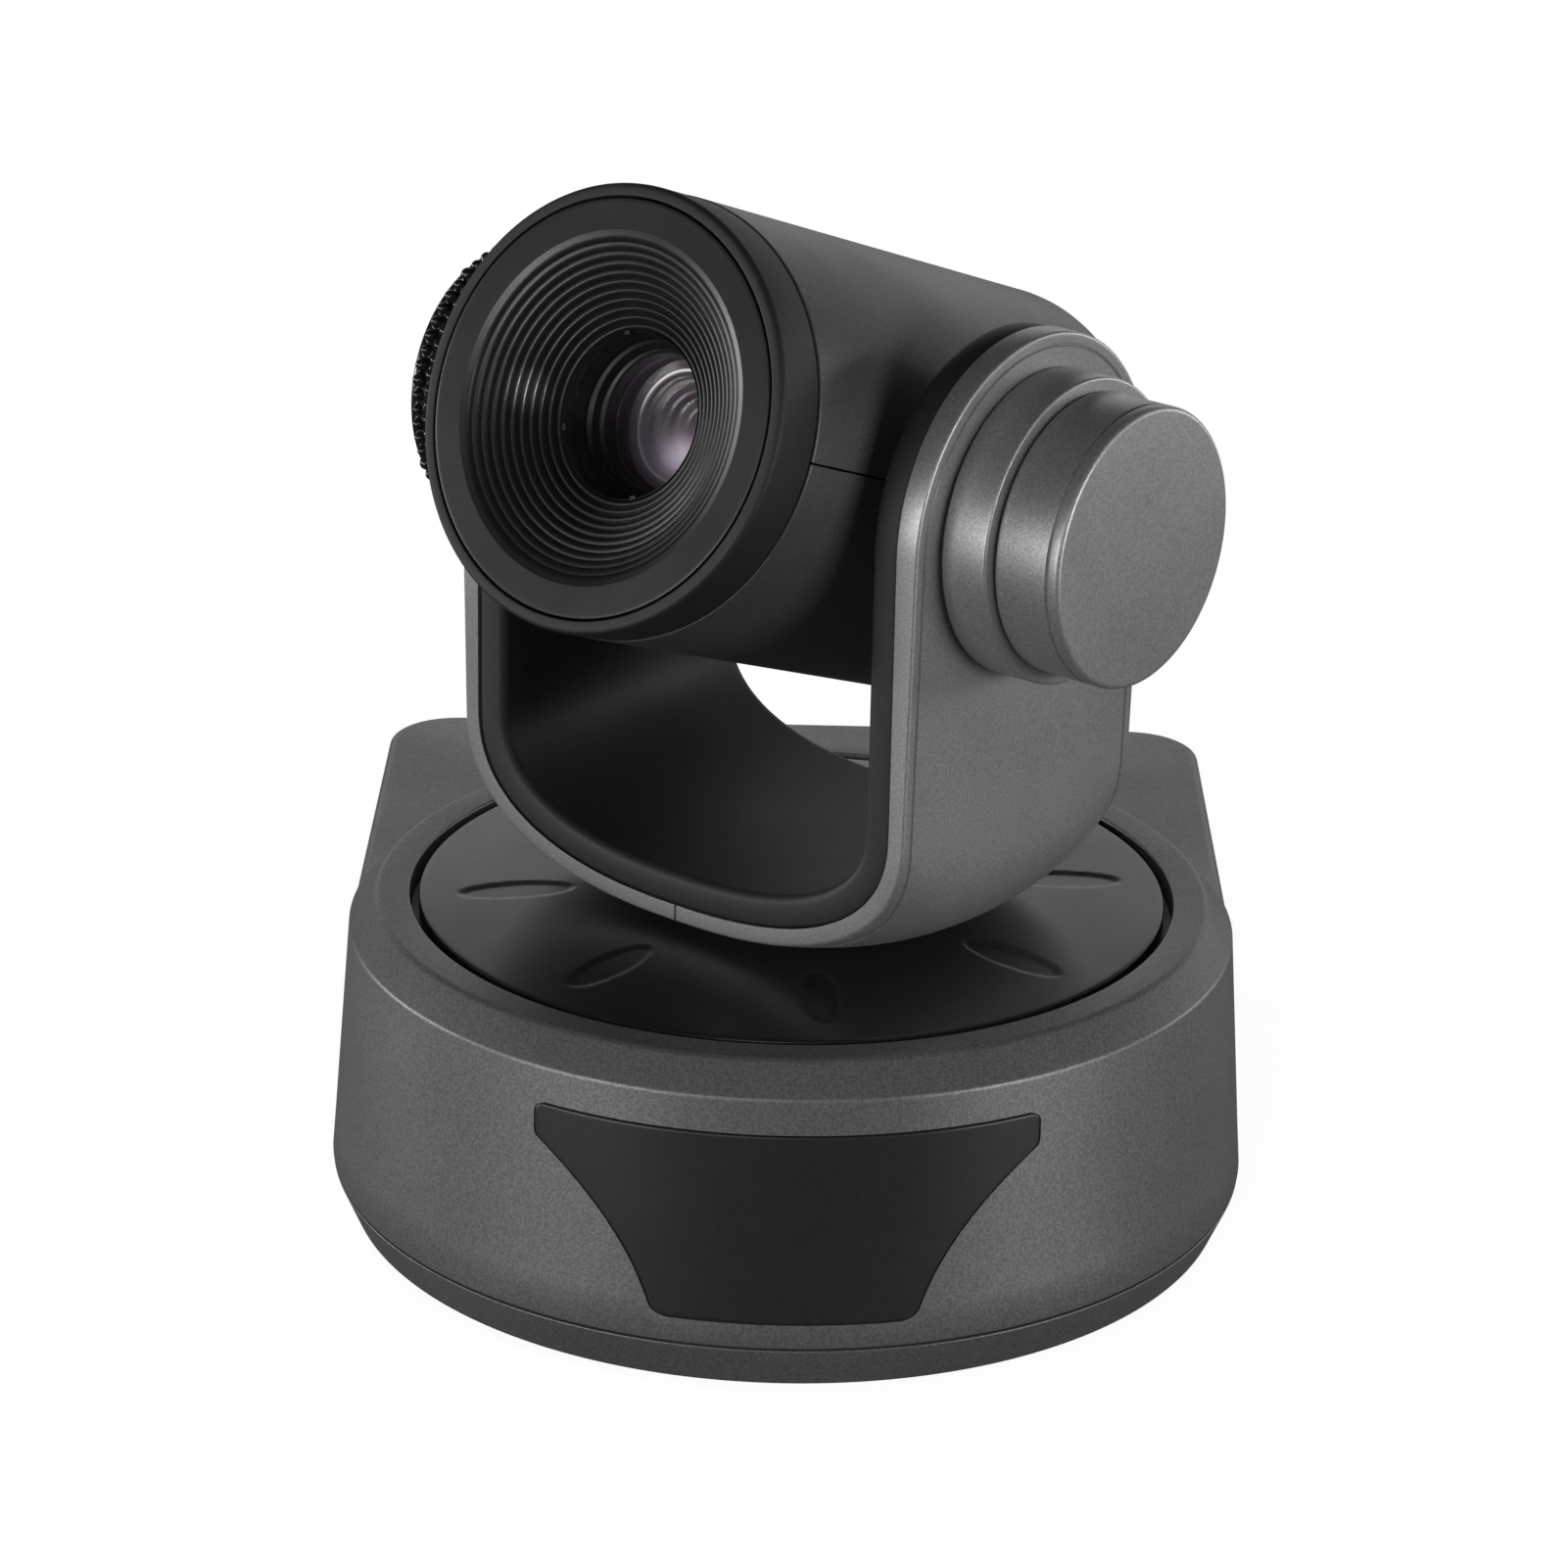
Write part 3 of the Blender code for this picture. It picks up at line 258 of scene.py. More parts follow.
def mesh_object(name, bm, matrix=HOME, weld=True, angle=SHARP_ANGLE):
    """Finish a bmesh given in millimetres and put it in the scene."""
    if weld:
        bmesh.ops.remove_doubles(bm, verts=bm.verts, dist=0.0005)
    bmesh.ops.recalc_face_normals(bm, faces=bm.faces)
    bmesh.ops.scale(bm, vec=(MM, MM, MM), verts=bm.verts)
    mesh = bpy.data.meshes.new(name)
    bm.to_mesh(mesh)
    bm.free()
    smooth(mesh, angle)
    obj = bpy.data.objects.new(name, mesh)
    obj.matrix_world = matrix
    bpy.context.scene.collection.objects.link(obj)
    return obj


def add_grid(bm, rows, close_columns=False, close_rows=False):
    """Skin rows of points with four-sided faces and return the vertices."""
    verts = [[bm.verts.new(point) for point in row] for row in rows]
    count = len(verts[0])
    pairs = list(zip(verts, verts[1:]))
    if close_rows:
        pairs.append((verts[-1], verts[0]))
    for first, second in pairs:
        for i in range(count if close_columns else count - 1):
            j = (i + 1) % count
            bm.faces.new((first[i], first[j], second[j], second[i]))
    return verts


def circle(radius, height, columns):
    angles = [2 * math.pi * i / columns for i in range(columns)]
    return [(radius * math.cos(a), radius * math.sin(a), height) for a in angles]


def rounded(points, steps=5):
    """Round the corners of a polyline of (a, b, radius) points with small arcs."""
    result = []
    for i, point in enumerate(points):
        here = Vector(point[:2])
        radius = point[2] if len(point) > 2 else 0
        if not radius or i in (0, len(points) - 1):
            result.append((here.x, here.y))
            continue
        before = Vector(points[i - 1][:2]) - here
        after = Vector(points[i + 1][:2]) - here
        cut = min(radius, before.length * 0.48, after.length * 0.48)
        start, end = here + before.normalized() * cut, here + after.normalized() * cut
        for k in range(steps + 1):
            t = k / steps
            spot = start * (1 - t) ** 2 + here * (2 * t * (1 - t)) + end * t ** 2
            result.append((spot.x, spot.y))
    return result


def round_over(distance, radius):
    """How far a rounded edge has fallen away at a distance from the rim."""
    if distance >= radius:
        return 0.0
    return radius - math.sqrt(max(radius ** 2 - (radius - distance) ** 2, 0.0))


def turned(name, profile, matrix, steps=STEPS, closed=True, start=0.0, sweep=2 * math.pi):
    """Turn (radius, height) points about Z; a part turn gets flat ends."""
    whole = abs(sweep - 2 * math.pi) < 1e-9
    angles = [start + sweep * i / steps for i in range(steps if whole else steps + 1)]
    rows = [[(r * math.cos(a), r * math.sin(a), z) for a in angles] for r, z in profile]
    bm = bmesh.new()
    verts = add_grid(bm, rows, close_columns=whole, close_rows=closed)
    if not whole:
        bm.faces.new([row[0] for row in verts])
        bm.faces.new([row[-1] for row in verts])
    return mesh_object(name, bm, matrix)


def subtract(obj, cutter):
    """Cut one object out of another at once and drop the cutter."""
    modifier = obj.modifiers.new("Cut", "BOOLEAN")
    modifier.operation = "DIFFERENCE"
    modifier.object = cutter
    modifier.solver = "EXACT"
    bpy.context.view_layer.update()
    evaluated = obj.evaluated_get(bpy.context.evaluated_depsgraph_get())
    mesh = bpy.data.meshes.new_from_object(evaluated)
    obj.modifiers.clear()
    obj.data = mesh
    smooth(mesh)
    bpy.data.objects.remove(cutter, do_unlink=True)


def prism(name, outline, low, high):
    """Extrude an (x, z) outline along Y."""
    bm = bmesh.new()
    verts = add_grid(bm, [[(x, y, z) for x, z in outline] for y in (low, high)], close_columns=True)
    for row in verts:
        bm.faces.new(row)
    return mesh_object(name, bm)


# ---------------------------------------------------------------- base housing
def drum_inset(height):
    """How far the drum has drawn in at a height: a leaning wall, then the bevel."""
    if height <= WALL_TOP:
        return WALL_DRAFT * (height - WALL_FOOT) / (WALL_TOP - WALL_FOOT)
    return WALL_DRAFT + (DECK_INSET - WALL_DRAFT) * (height - WALL_TOP) / (DECK_TOP - WALL_TOP)


def wall_radius(height):
    return BASE_RADIUS - drum_inset(height)


def block_side(shift):
    """Right half of the rear block's outline, from beside the pan axis to the middle of the back.

    Along the straight faces a point is placed every degree and a half seen from the pan axis.
    """
    half, back = BLOCK_HALF - shift, BLOCK_BACK - shift
    corner = BLOCK_CORNER - shift / 2
    slopes = [math.tan(math.radians(1.5 * i)) for i in range(27)]
    arc = np.linspace(0, math.pi / 2, 13)
    lower_right_light = [(half, half * slope) for slope in slopes[1:]]
    lower_right_light += [(half - corner + corner * math.cos(a), back - corner + corner * math.sin(a)) for a in arc]
    return lower_right_light + [(back * slope, back) for slope in slopes[22:0:-1]]


def base_outline(inset, height, block_inset=None, radius=None):
    """Outline at a height: the round drum in front joined with the rear block.

    Points of the block that would fall inside the drum lie on the drum instead. With a radius
    every point is pulled onto a circle, so that round and square loops can be skinned together.
    """
    shift = inset if block_inset is None else block_inset
    drum = BASE_RADIUS - inset
    front = np.linspace(math.pi, 2 * math.pi, 121)
    lower_right_light = block_side(shift)
    points = [(drum * math.cos(a), drum * math.sin(a)) for a in front]
    points += lower_right_light + [(0.0, BLOCK_BACK - shift)] + [(-x, y) for x, y in reversed(lower_right_light)]
    outline = []
    for x, y in points:
        reach = radius or max(drum, math.hypot(x, y))
        scale = reach / math.hypot(x, y)
        outline.append((x * scale, y * scale, level(height)))
    return outline


def wall_loops():
    """Loops of the housing's wall, up to the rounded top of the rear block."""
    loops = [base_outline(inset, WALL_FOOT + rise) for inset, rise in FOOT_ROUND]
    loops += [base_outline(drum_inset(z), z) for z in WALL_LEVELS]
    edge_start = BLOCK_TOP - BLOCK_EDGE
    for turn in np.linspace(0, math.pi / 2, 7):
        height = edge_start + BLOCK_EDGE * math.sin(turn)
        block_inset = drum_inset(edge_start) + BLOCK_EDGE * (1 - math.cos(turn))
        loops.append(base_outline(drum_inset(height), height, block_inset))
    return loops


def rim_profile():
    """The drum's bevel, rim and well, as (radius, height) points."""
    lip = DECK_TOP - RIM_EDGE
    low, next_low = BLOCK_TOP + 0.2, BLOCK_TOP + 0.3
    return rounded([
        (wall_radius(low), low), (wall_radius(next_low), next_low),
        (wall_radius(lip), lip, 0.25), (wall_radius(lip) - 2 * RIM_EDGE, DECK_TOP, 0.25),
        (WELL_RADIUS, DECK_TOP, 0.35), (WELL_RADIUS, WELL_FLOOR, 0.3), (WELL_BORE, WELL_FLOOR)])


def base_shell():
    """Drum with a leaning wall and a bevel, joined with the lower rear block."""
    under, deck = WELL_FLOOR - WALL, DECK_TOP - WALL
    inner = [(WELL_BORE, under), (WELL_RADIUS + WALL, under), (WELL_RADIUS + WALL, deck),
             (wall_radius(DECK_TOP) - 0.2, deck), (wall_radius(under) - WALL - 0.2, under)]
    loops = wall_loops() + [base_outline(0, z, radius=r) for r, z in rim_profile() + inner]
    block_wall = drum_inset(BLOCK_TOP - BLOCK_EDGE)
    loops += [base_outline(block_wall + WALL, under - 0.2), base_outline(WALL, WALL_FOOT)]
    bm = bmesh.new()
    add_grid(bm, loops, close_columns=True, close_rows=True)
    shell = mesh_object("base_shell_look", bm, angle=26)
    subtract(shell, prism("window_cut", window_outline(WINDOW_GAP), -BASE_RADIUS - 8, -BASE_RADIUS + 24))
    half, low, high = PANEL_HALF + GAP, level(PANEL_LOW - GAP), level(PANEL_HIGH + GAP)
    panel = [(-half, low), (half, low), (half, high), (-half, high)]
    subtract(shell, prism("panel_cut", panel, BLOCK_BACK - 10, BLOCK_BACK + 5))
    return shell


def pocket(radius, top):
    """Profile of a round pocket that is open below."""
    return [(0, top), (radius, top), (radius, CUT_LOW), (0, CUT_LOW)]


def sink_hole(obj, profile, spot, steps):
    """Cut a turned shape out of a piece, standing at a spot on the floor."""
    place = Matrix.Translation((spot[0] * MM, spot[1] * MM, 0))
    subtract(obj, turned("hole_cut", profile, place, steps, closed=False))


def bottom_cover():
    """Chamfered tray with a pocket for the pad and holes for the bush and the screws."""
    profile = rounded([(FOOT_INSET + 1.0, 0), (FOOT_INSET, 0, 0.6), (0, TRAY_HEIGHT, 0.35),
                       (WALL, TRAY_HEIGHT)])
    loops = [base_outline(inset, z) for inset, z in profile + [(FOOT_INSET + WALL, TRAY_FLOOR)]]
    bm = bmesh.new()
    verts = add_grid(bm, loops, close_columns=True)
    bm.faces.new(verts[0])
    bm.faces.new(verts[-1])
    cover = mesh_object("bottom_cover_look", bm)
    sink_hole(cover, pocket(PAD_RADIUS + GAP, PAD_PROUD + PAD_POCKET), (0, 0), 96)
    screw = [(0, CUT_TOP), (SCREW_HOLE, CUT_TOP), (SCREW_HOLE, SCREW_LEVEL)]
    screw += pocket(SCREW_SINK, SCREW_LEVEL)[1:]
    for spot in SCREW_PLACES:
        sink_hole(cover, screw, spot, 32)
    sink_hole(cover, pocket(BUSH_RADIUS + GAP, CUT_TOP), (0, BUSH_BACK), 48)
    return cover


# ---------------------------------------------------------------- window and sockets
def curve_share(height):
    """How far along the window's curved side it reaches a height, from 0 to 1."""
    a = WINDOW_SHOULDER - 2 * WINDOW_MIDDLE + WINDOW_CURVE_END
    b = 2 * (WINDOW_MIDDLE - WINDOW_SHOULDER)
    c = WINDOW_SHOULDER - height
    share = (-b - math.sqrt(max(b * b - 4 * a * c, 0))) / (2 * a)
    return min(max(share, 0.0), 1.0)


def window_half_width(height):
    """Half the window's width at a height, rounded at the top and bottom corners."""
    width = WINDOW_WIDE
    if height < WINDOW_SHOULDER:
        t = curve_share(height)
        width = (1 - t) ** 2 * WINDOW_WIDE + 2 * t * (1 - t) * WINDOW_WAIST + t * t * WINDOW_NARROW
    ends = ((WINDOW_TOP - height, WINDOW_TOP_CORNER), (height - WINDOW_FOOT, WINDOW_FOOT_CORNER))
    for edge, radius in ends:
        width -= round_over(edge, radius)
    return width


def window_heights():
    ends = [0.0, 0.05, 0.15, 0.3, 0.5, 0.8, 1.2, 1.7, 2.4]
    middle = np.linspace(WINDOW_FOOT + 3.2, WINDOW_TOP - 3.2, 28)
    return [WINDOW_FOOT + e for e in ends] + list(middle) + [WINDOW_TOP - e for e in reversed(ends)]


def window_outline(grow):
    right = [(window_half_width(z) + grow, z) for z in window_heights()]
    right[0] = (right[0][0], right[0][1] - grow)
    right[-1] = (right[-1][0], right[-1][1] + grow)
    left = [(-x, z) for x, z in reversed(right)]
    return [(x, level(z)) for x, z in right + left]


def window_row(height):
    """Points across the window at one height, on the drum's curve, with a soft edge."""
    half = window_half_width(height)
    steps = [0.0, 0.03, 0.08, 0.15, 0.25, 0.4]
    xs = [half - s for s in steps] + list(np.linspace(half - 1.5, -half + 1.5, 60))
    xs += [-half + s for s in reversed(steps)]
    row = []
    for x in xs:
        inside = min(half - abs(x), height - WINDOW_FOOT, WINDOW_TOP - height)
        radius = wall_radius(height) + WINDOW_PROUD - round_over(inside, WINDOW_EDGE)
        row.append((x, -math.sqrt(radius ** 2 - x ** 2), level(height)))
    return row


def ir_window():
    """Plate that follows the leaning wall, with a softly rounded edge."""
    bm = bmesh.new()
    verts = add_grid(bm, [window_row(z) for z in window_heights()])
    right, left = [row[-1] for row in verts[1:-1]], [row[0] for row in verts[-2:0:-1]]
    border = verts[0] + right + verts[-1][::-1] + left
    back = [bm.verts.new(v.co + Vector((0, WINDOW_THICK, 0))) for v in border]
    for i in range(len(border)):
        j = (i + 1) % len(border)
        bm.faces.new((border[i], border[j], back[j], back[i]))
    bm.faces.new(back)
    return mesh_object("ir_window_look", bm, angle=50)


def socket(name, radius, x):
    """Round socket of the rear panel with a collar, a deep hole and a centre pin."""
    hole = radius - SOCKET_WALL
    profile = rounded([
        (0, -SOCKET_LENGTH), (radius, -SOCKET_LENGTH), (radius, 0, 0.3), (hole, 0, 0.3),
        (hole, -SOCKET_DEPTH), (PIN_RADIUS, -SOCKET_DEPTH), (PIN_RADIUS, -PIN_SINK, 0.4), (0, -PIN_SINK)])
    face = BLOCK_BACK - PANEL_INSET + SOCKET_PROUD
    height = level((PANEL_LOW + PANEL_HIGH) / 2)
    matrix = Matrix.Translation((x * MM, face * MM, height * MM)) @ Matrix.Rotation(-math.pi / 2, 4, "X")
    return turned(name, profile, matrix, 64, closed=False)


# ---------------------------------------------------------------- turntable
def disc_height(x, y):
    """Height of the domed disc at a point, with its oval dimples."""
    radius = math.hypot(x, y)
    height = DISC_EDGE_TOP + DISC_DOME * (1 - (radius / DISC_RADIUS) ** 2)
    for i in range(DIMPLES):
        a = 2 * math.pi * i / DIMPLES
        along = x * math.sin(a) - y * math.cos(a) - DIMPLE_RADIUS
        across = x * math.cos(a) + y * math.sin(a)
        share = (2 * along / DIMPLE_LENGTH) ** 2 + (2 * across / DIMPLE_WIDTH) ** 2
        if share < 1.0:
            height -= DIMPLE_DEPTH * min(1.0, (1 - share) * 4.0)
    return height


def disc_radii():
    """Radii of the disc's rings of points, close together where the dimples lie."""
    reach = 0.55 * DIMPLE_LENGTH
    near, far = DIMPLE_RADIUS - reach, DIMPLE_RADIUS + reach
    inside = [SHAFT_RADIUS + GAP, *np.linspace(SHAFT_RADIUS + 4, near - 0.5, 6)]
    return inside + [*np.linspace(near, far, 80), DISC_RADIUS - 2.7, DISC_RADIUS - 1.4]


def turntable():
    rows = []
    for radius in disc_radii():
        ring = circle(radius, 0, DISC_COLUMNS)
        rows.append([(x, y, level(disc_height(x, y))) for x, y, _ in ring])
    edge = rounded([
        (DISC_RADIUS - 1.0, DISC_EDGE_TOP + 0.06), (DISC_RADIUS, DISC_EDGE_TOP, 0.7),
        (DISC_RADIUS, DISC_EDGE_TOP - 0.9), (DISC_RADIUS, DISC_UNDERSIDE),
        (SHAFT_RADIUS + GAP, DISC_UNDERSIDE)])
    rows += [circle(radius, level(z), DISC_COLUMNS) for radius, z in edge]
    bm = bmesh.new()
    add_grid(bm, rows, close_columns=True, close_rows=True)
    return mesh_object("turntable_look", bm, PAN, angle=45)


# ---------------------------------------------------------------- fork
def bowl_line(half_width, floor, roundness):
    """Quarter of the bowl's section as (x, z) points, with their outward directions."""
    depth = FORK_SHOULDER - floor
    points, outward = [], []
    for t in np.linspace(0, math.pi / 2, 26):
        x = half_width * math.sin(t) ** (2 / roundness)
        drop = depth * math.cos(t) ** (2 / roundness)
        normal = Vector(((x / half_width) ** (roundness - 1) / half_width, 0,
                         -(drop / depth) ** (roundness - 1) / depth))
        points.append((x, FORK_SHOULDER - drop))
        outward.append(normal.normalized())
    return points, outward


def arm_line(reach, half_width, floor, roundness, start, flare=0.0):
    """One line of an arm's skin with its outward directions.

    It runs from the middle of the bowl out and up the arm at one distance from the tilt axis
    plane, over the arch at that radius, and down again behind.
    """
    up, outward = bowl_line(half_width, floor, roundness)
    up[0] = (start, up[0][1])
    lean = flare / (TILT_HEIGHT + FORK_HALF_DEPTH - FORK_SHOULDER)
    sideways = Vector((1, 0, 0))
    for z in np.linspace(FORK_SHOULDER, TILT_HEIGHT, 10)[1:-1]:
        up.append((half_width + lean * (z - FORK_SHOULDER), z))
        outward.append(sideways)
    front = [Vector((x, -reach, z)) for x, z in up]
    back = [Vector((x, reach, z)) for x, z in up]
    arch = []
    for a in np.linspace(0, math.pi, 49):
        z = TILT_HEIGHT + reach * math.sin(a)
        arch.append(Vector((half_width + lean * (z - FORK_SHOULDER), -reach * math.cos(a), z)))
    return front + arch + back[::-1], outward + [sideways] * len(arch) + outward[::-1]


def arm_rows(edge, offsets, make_line, shift):
    """Lines at growing distances from the rim, each moved outward by shift(distance)."""
    rows = []
    for distance in offsets:
        line, outward = make_line(edge - distance)
        rows.append([point + direction * shift(distance) for point, direction in zip(line, outward)])
    return rows


def on_side(rows, lower_right_light):
    """Rows of the right-hand arm put on a side and raised to their level."""
    return [[Vector((lower_right_light * p.x, p.y, level(p.z))) for p in row] for row in rows]


def skin_line(reach, inset, start, flare=0.0):
    share = (reach / FORK_HALF_DEPTH) ** 2
    roundness = ROUND_MIDDLE - (ROUND_MIDDLE - ROUND_EDGE) * share
    return arm_line(reach, FORK_HALF_WIDTH - inset, FORK_FLOOR + share + inset, roundness, start, flare)


def channel_line(reach):
    return arm_line(reach, LINER_HALF_GAP, LINER_FLOOR, ROUND_EDGE, 0.0)


def groove_shift(distance):
    """Rounded rim, then a fine groove that runs parallel to it."""
    groove = GROOVE_DEPTH * max(0.0, 1 - (abs(distance - GROOVE_AT) / GROOVE_HALF) ** 2)
    return -round_over(distance, FORK_EDGE) - groove


def fork_shell(name, lower_right_light):
    """Half of the fork's outer skin, with a fine groove along its rims."""
    start = GAP / 2
    offsets = SKIN_STEPS + [GROOVE_AT + step for step in GROOVE_STEPS] + MIDDLE_STEPS + [FORK_HALF_DEPTH]
    outer = arm_rows(FORK_HALF_DEPTH, offsets,
                     lambda reach: skin_line(reach, 0.0, start, ARM_FLARE), groove_shift)
    inner = arm_rows(FORK_HALF_DEPTH, [0.0, 1.0, 10.0, FORK_HALF_DEPTH],
                     lambda reach: skin_line(reach, FORK_SKIN, start), lambda distance: 0.0)
    bm = bmesh.new()
    verts = add_grid(bm, on_side(outer[::-1] + inner, lower_right_light))
    bm.faces.new([row[0] for row in verts])
    bm.faces.new([row[-1] for row in verts])
    return mesh_object(name, bm, PAN)


def fork_liner():
    """Black channel between the arms, softly rounded at its front and back."""
    edge = FORK_HALF_DEPTH - LINER_SETBACK
    outer = arm_rows(edge, [0.0, 0.15, 0.3, 10.0, edge],
                     lambda reach: skin_line(reach, FORK_SKIN + GAP, 0.0),
                     lambda distance: -round_over(distance, LINER_OUTER_EDGE))
    inner = arm_rows(edge, LINER_STEPS + MIDDLE_STEPS + [edge], channel_line,
                     lambda distance: round_over(distance, LINER_EDGE))
    bm = bmesh.new()
    for lower_right_light in (-1, 1):
        add_grid(bm, on_side(outer[::-1] + inner, lower_right_light))
    return mesh_object("fork_liner_look", bm, PAN)


# ---------------------------------------------------------------- hubs
def hub_base(name, matrix):
    profile = rounded([(HUB_BORE, HUB_STEP), (HUB_RADIUS, HUB_STEP, 0.45), (HUB_RADIUS, HUB_START, 0.3),
                       (HUB_BORE, HUB_START)])
    return turned(name, profile, matrix)


def hub_cap(name, matrix):
    """Cap with a fine groove just before its rounded edge."""
    foot, groove, inside = HUB_STEP + GAP, CAP_END - CAP_GROOVE_AT, CAP_END - CAP_WALL
    profile = rounded([
        (0, CAP_END), (CAP_RADIUS, CAP_END, CAP_EDGE), (CAP_RADIUS, groove + CAP_GROOVE, 0.1),
        (CAP_RADIUS - CAP_GROOVE, groove), (CAP_RADIUS, groove - CAP_GROOVE, 0.1), (CAP_RADIUS, foot, 0.2),
        (HUB_BORE, foot), (HUB_BORE, inside), (0, inside)])
    return turned(name, profile, matrix, closed=False)


def bead_ring(height, low, uneven):
    """Ring of points at one height of the beaded cap, swelling out over each bead."""
    pitch = (BEADS_END - low) / BEAD_LINES
    line = min(int((height - low) / pitch), BEAD_LINES - 1)
    up = ((height - low) / pitch - line - 0.5) * 2
    stagger = 0.5 * (line % 2)
    ring = []
    for i in range(BEAD_COLUMNS):
        turn = (i / BEAD_COLUMNS * BEADS + stagger) % BEADS
        across = (turn - math.floor(turn) - 0.5) * 2
        size = uneven[line][int(turn)]
        swell = size * math.sqrt(max(0.0, 1 - (across ** 2 + up ** 2) / size ** 2))
        radius = BEADS_RADIUS - BEAD_HEIGHT * (1 - swell)
        a = 2 * math.pi * i / BEAD_COLUMNS
        ring.append((radius * math.cos(a), radius * math.sin(a), height))
    return ring


def beaded_cap(name, matrix):
    """Cap covered in staggered, slightly uneven beads, with a plain rounded face."""
    low, core = HUB_STEP + GAP, BEADS_RADIUS - BEAD_HEIGHT
    uneven = np.random.default_rng(7).uniform(0.72, 1.0, (BEAD_LINES, BEADS))
    foot = [(HUB_BORE, low + 2.0), (HUB_BORE, low)]
    face = rounded([(core, BEADS_END + 0.1), (core - 0.2, LEFT_CAP_FACE, 0.6), (0, LEFT_CAP_FACE)])
    rows = [circle(r, z, BEAD_COLUMNS) for r, z in foot]
    rows += [bead_ring(z, low, uneven) for z in np.linspace(low, BEADS_END, BEAD_ROWS)]
    rows += [circle(r, z, BEAD_COLUMNS) for r, z in face]
    bm = bmesh.new()
    add_grid(bm, rows, close_columns=True)
    return mesh_object(name, bm, matrix, angle=60)


# ---------------------------------------------------------------- head
def dome_depth(radius):
    return -math.sqrt(REAR_REACH ** 2 - (radius - LENS_RISE) ** 2)


def head_shell(name, start):
    """Half of the tubular head, split along its sides, with a domed rear."""
    front, inner, shoulder = RING_BACK - GAP, HEAD_RADIUS - HEAD_WALL, HEAD_RADIUS - 2.0
    profile = [(inner, front), (HEAD_RADIUS, front, 0.3), (HEAD_RADIUS, -REAR_STRAIGHT, 2.2),
               (shoulder, dome_depth(shoulder) + 0.3, 2.0)]
    profile += [(r, dome_depth(r)) for r in range(24, -1, -3)]
    profile += [(r, dome_depth(r) + HEAD_WALL) for r in (0, 10, 20, 24)] + [(inner, -REAR_STRAIGHT)]
    gap = math.radians(HEAD_SEAM)
    return turned(name, rounded(profile), LENS, 120, start=start + gap, sweep=math.pi - 2 * gap)


def lens_ring():
    inner, outer = SEAM_RADIUS + SEAM_HALF_GAP, HEAD_RADIUS - 0.1
    profile = rounded([(inner, RING_BACK), (inner, RING_FRONT, 0.25), (outer, RING_FRONT, 1.1),
                       (outer, RING_BACK, 0.25), (inner, RING_BACK)])
    return turned("lens_ring_look", profile[:-1], LENS, 240)


def cone_point(share):
    """Radius and height of the ribbed cone, from its rim at 0 to the bore at 1."""
    radius = RECESS_RADIUS + (BORE_RADIUS - RECESS_RADIUS) * share
    return radius, RING_FRONT + (RECESS_FLOOR - RING_FRONT) * share


def baffle_profile():
    """Flat face, then round-backed ribs that grow deeper down the cone to the bore."""
    rim = SEAM_RADIUS - SEAM_HALF_GAP
    points = rounded([(rim, RING_BACK + 1), (rim, RING_FRONT, 0.25), (rim - 0.6, RING_FRONT)], 3)
    points += [(RECESS_RADIUS + 0.5, RING_FRONT), (RECESS_RADIUS + 0.4, RING_FRONT),
               (RECESS_RADIUS + 0.3, RING_FRONT - 0.04)]
    for share in np.linspace(0, 1, RIBS * 10 + 1):
        radius, height = cone_point(share)
        depth = RIB_DEPTH + RIB_GROWTH * share
        points.append((radius, height - depth * (1 - abs(math.sin(math.pi * RIBS * share)))))
    points += rounded([(BORE_RADIUS + 0.1, RECESS_FLOOR), (BORE_RADIUS, RECESS_FLOOR + 0.05, 0.2),
                       (BORE_RADIUS, RECESS_FLOOR - 1.6)], 3)[1:]
    return points + [(BORE_RADIUS + 5, RECESS_FLOOR - 1.8)]


def lens_baffle():
    """Ribbed funnel with four small lugs at the bore."""
    bm = bmesh.new()
    add_grid(bm, [circle(r, z, 240) for r, z in baffle_profile()], close_columns=True, close_rows=True)
    for angle in LUG_TURNS:
        spin = Matrix.Rotation(math.radians(angle), 4, "Z")
        place = spin @ Matrix.Translation((BORE_RADIUS - 0.1, 0, RECESS_FLOOR - 0.3))
        bmesh.ops.create_cube(bm, size=1.0, matrix=place @ Matrix.Diagonal((*LUG_SIZE, 1)))
    return mesh_object("lens_baffle_look", bm, LENS, weld=False)


def lens_barrel():
    """Dark tube with the stepped rings that show round the glass."""
    top = RECESS_FLOOR - 1.9
    profile = rounded([
        (BARREL_RADIUS, BARREL_BACK), (BARREL_RADIUS, top), (10.9, top, 0.2), (10.75, 33.4, 0.3),
        (9.9, 33.0, 0.25), (9.7, 31.9, 0.2), (9.0, 31.6, 0.2), (8.9, 29.2), (BARREL_BORE, 20.0),
        (BARREL_BORE, BARREL_BACK)], 4)
    return turned("lens_barrel_look", profile, LENS, LENS_STEPS)


def inner_rings():
    """Stepped rings between the inner lens elements."""
    points = [(RINGS_SEAT, INNER_TOP + 0.2)]
    radius, height = INNER_RADIUS, INNER_TOP
    for _ in range(INNER_RINGS):
        points += [(radius, height, 0.12), (radius - 0.55, height - 0.1, 0.2),
                   (radius - 0.75, height - 0.9, 0.12)]
        radius, height = radius - 0.85, height - 1.0
    points += [(radius, height), (0, height - 0.2), (0, height - 1.5), (RINGS_SEAT, height - 1.5)]
    return turned("lens_inner_rings", rounded(points, 3), LENS, LENS_STEPS)


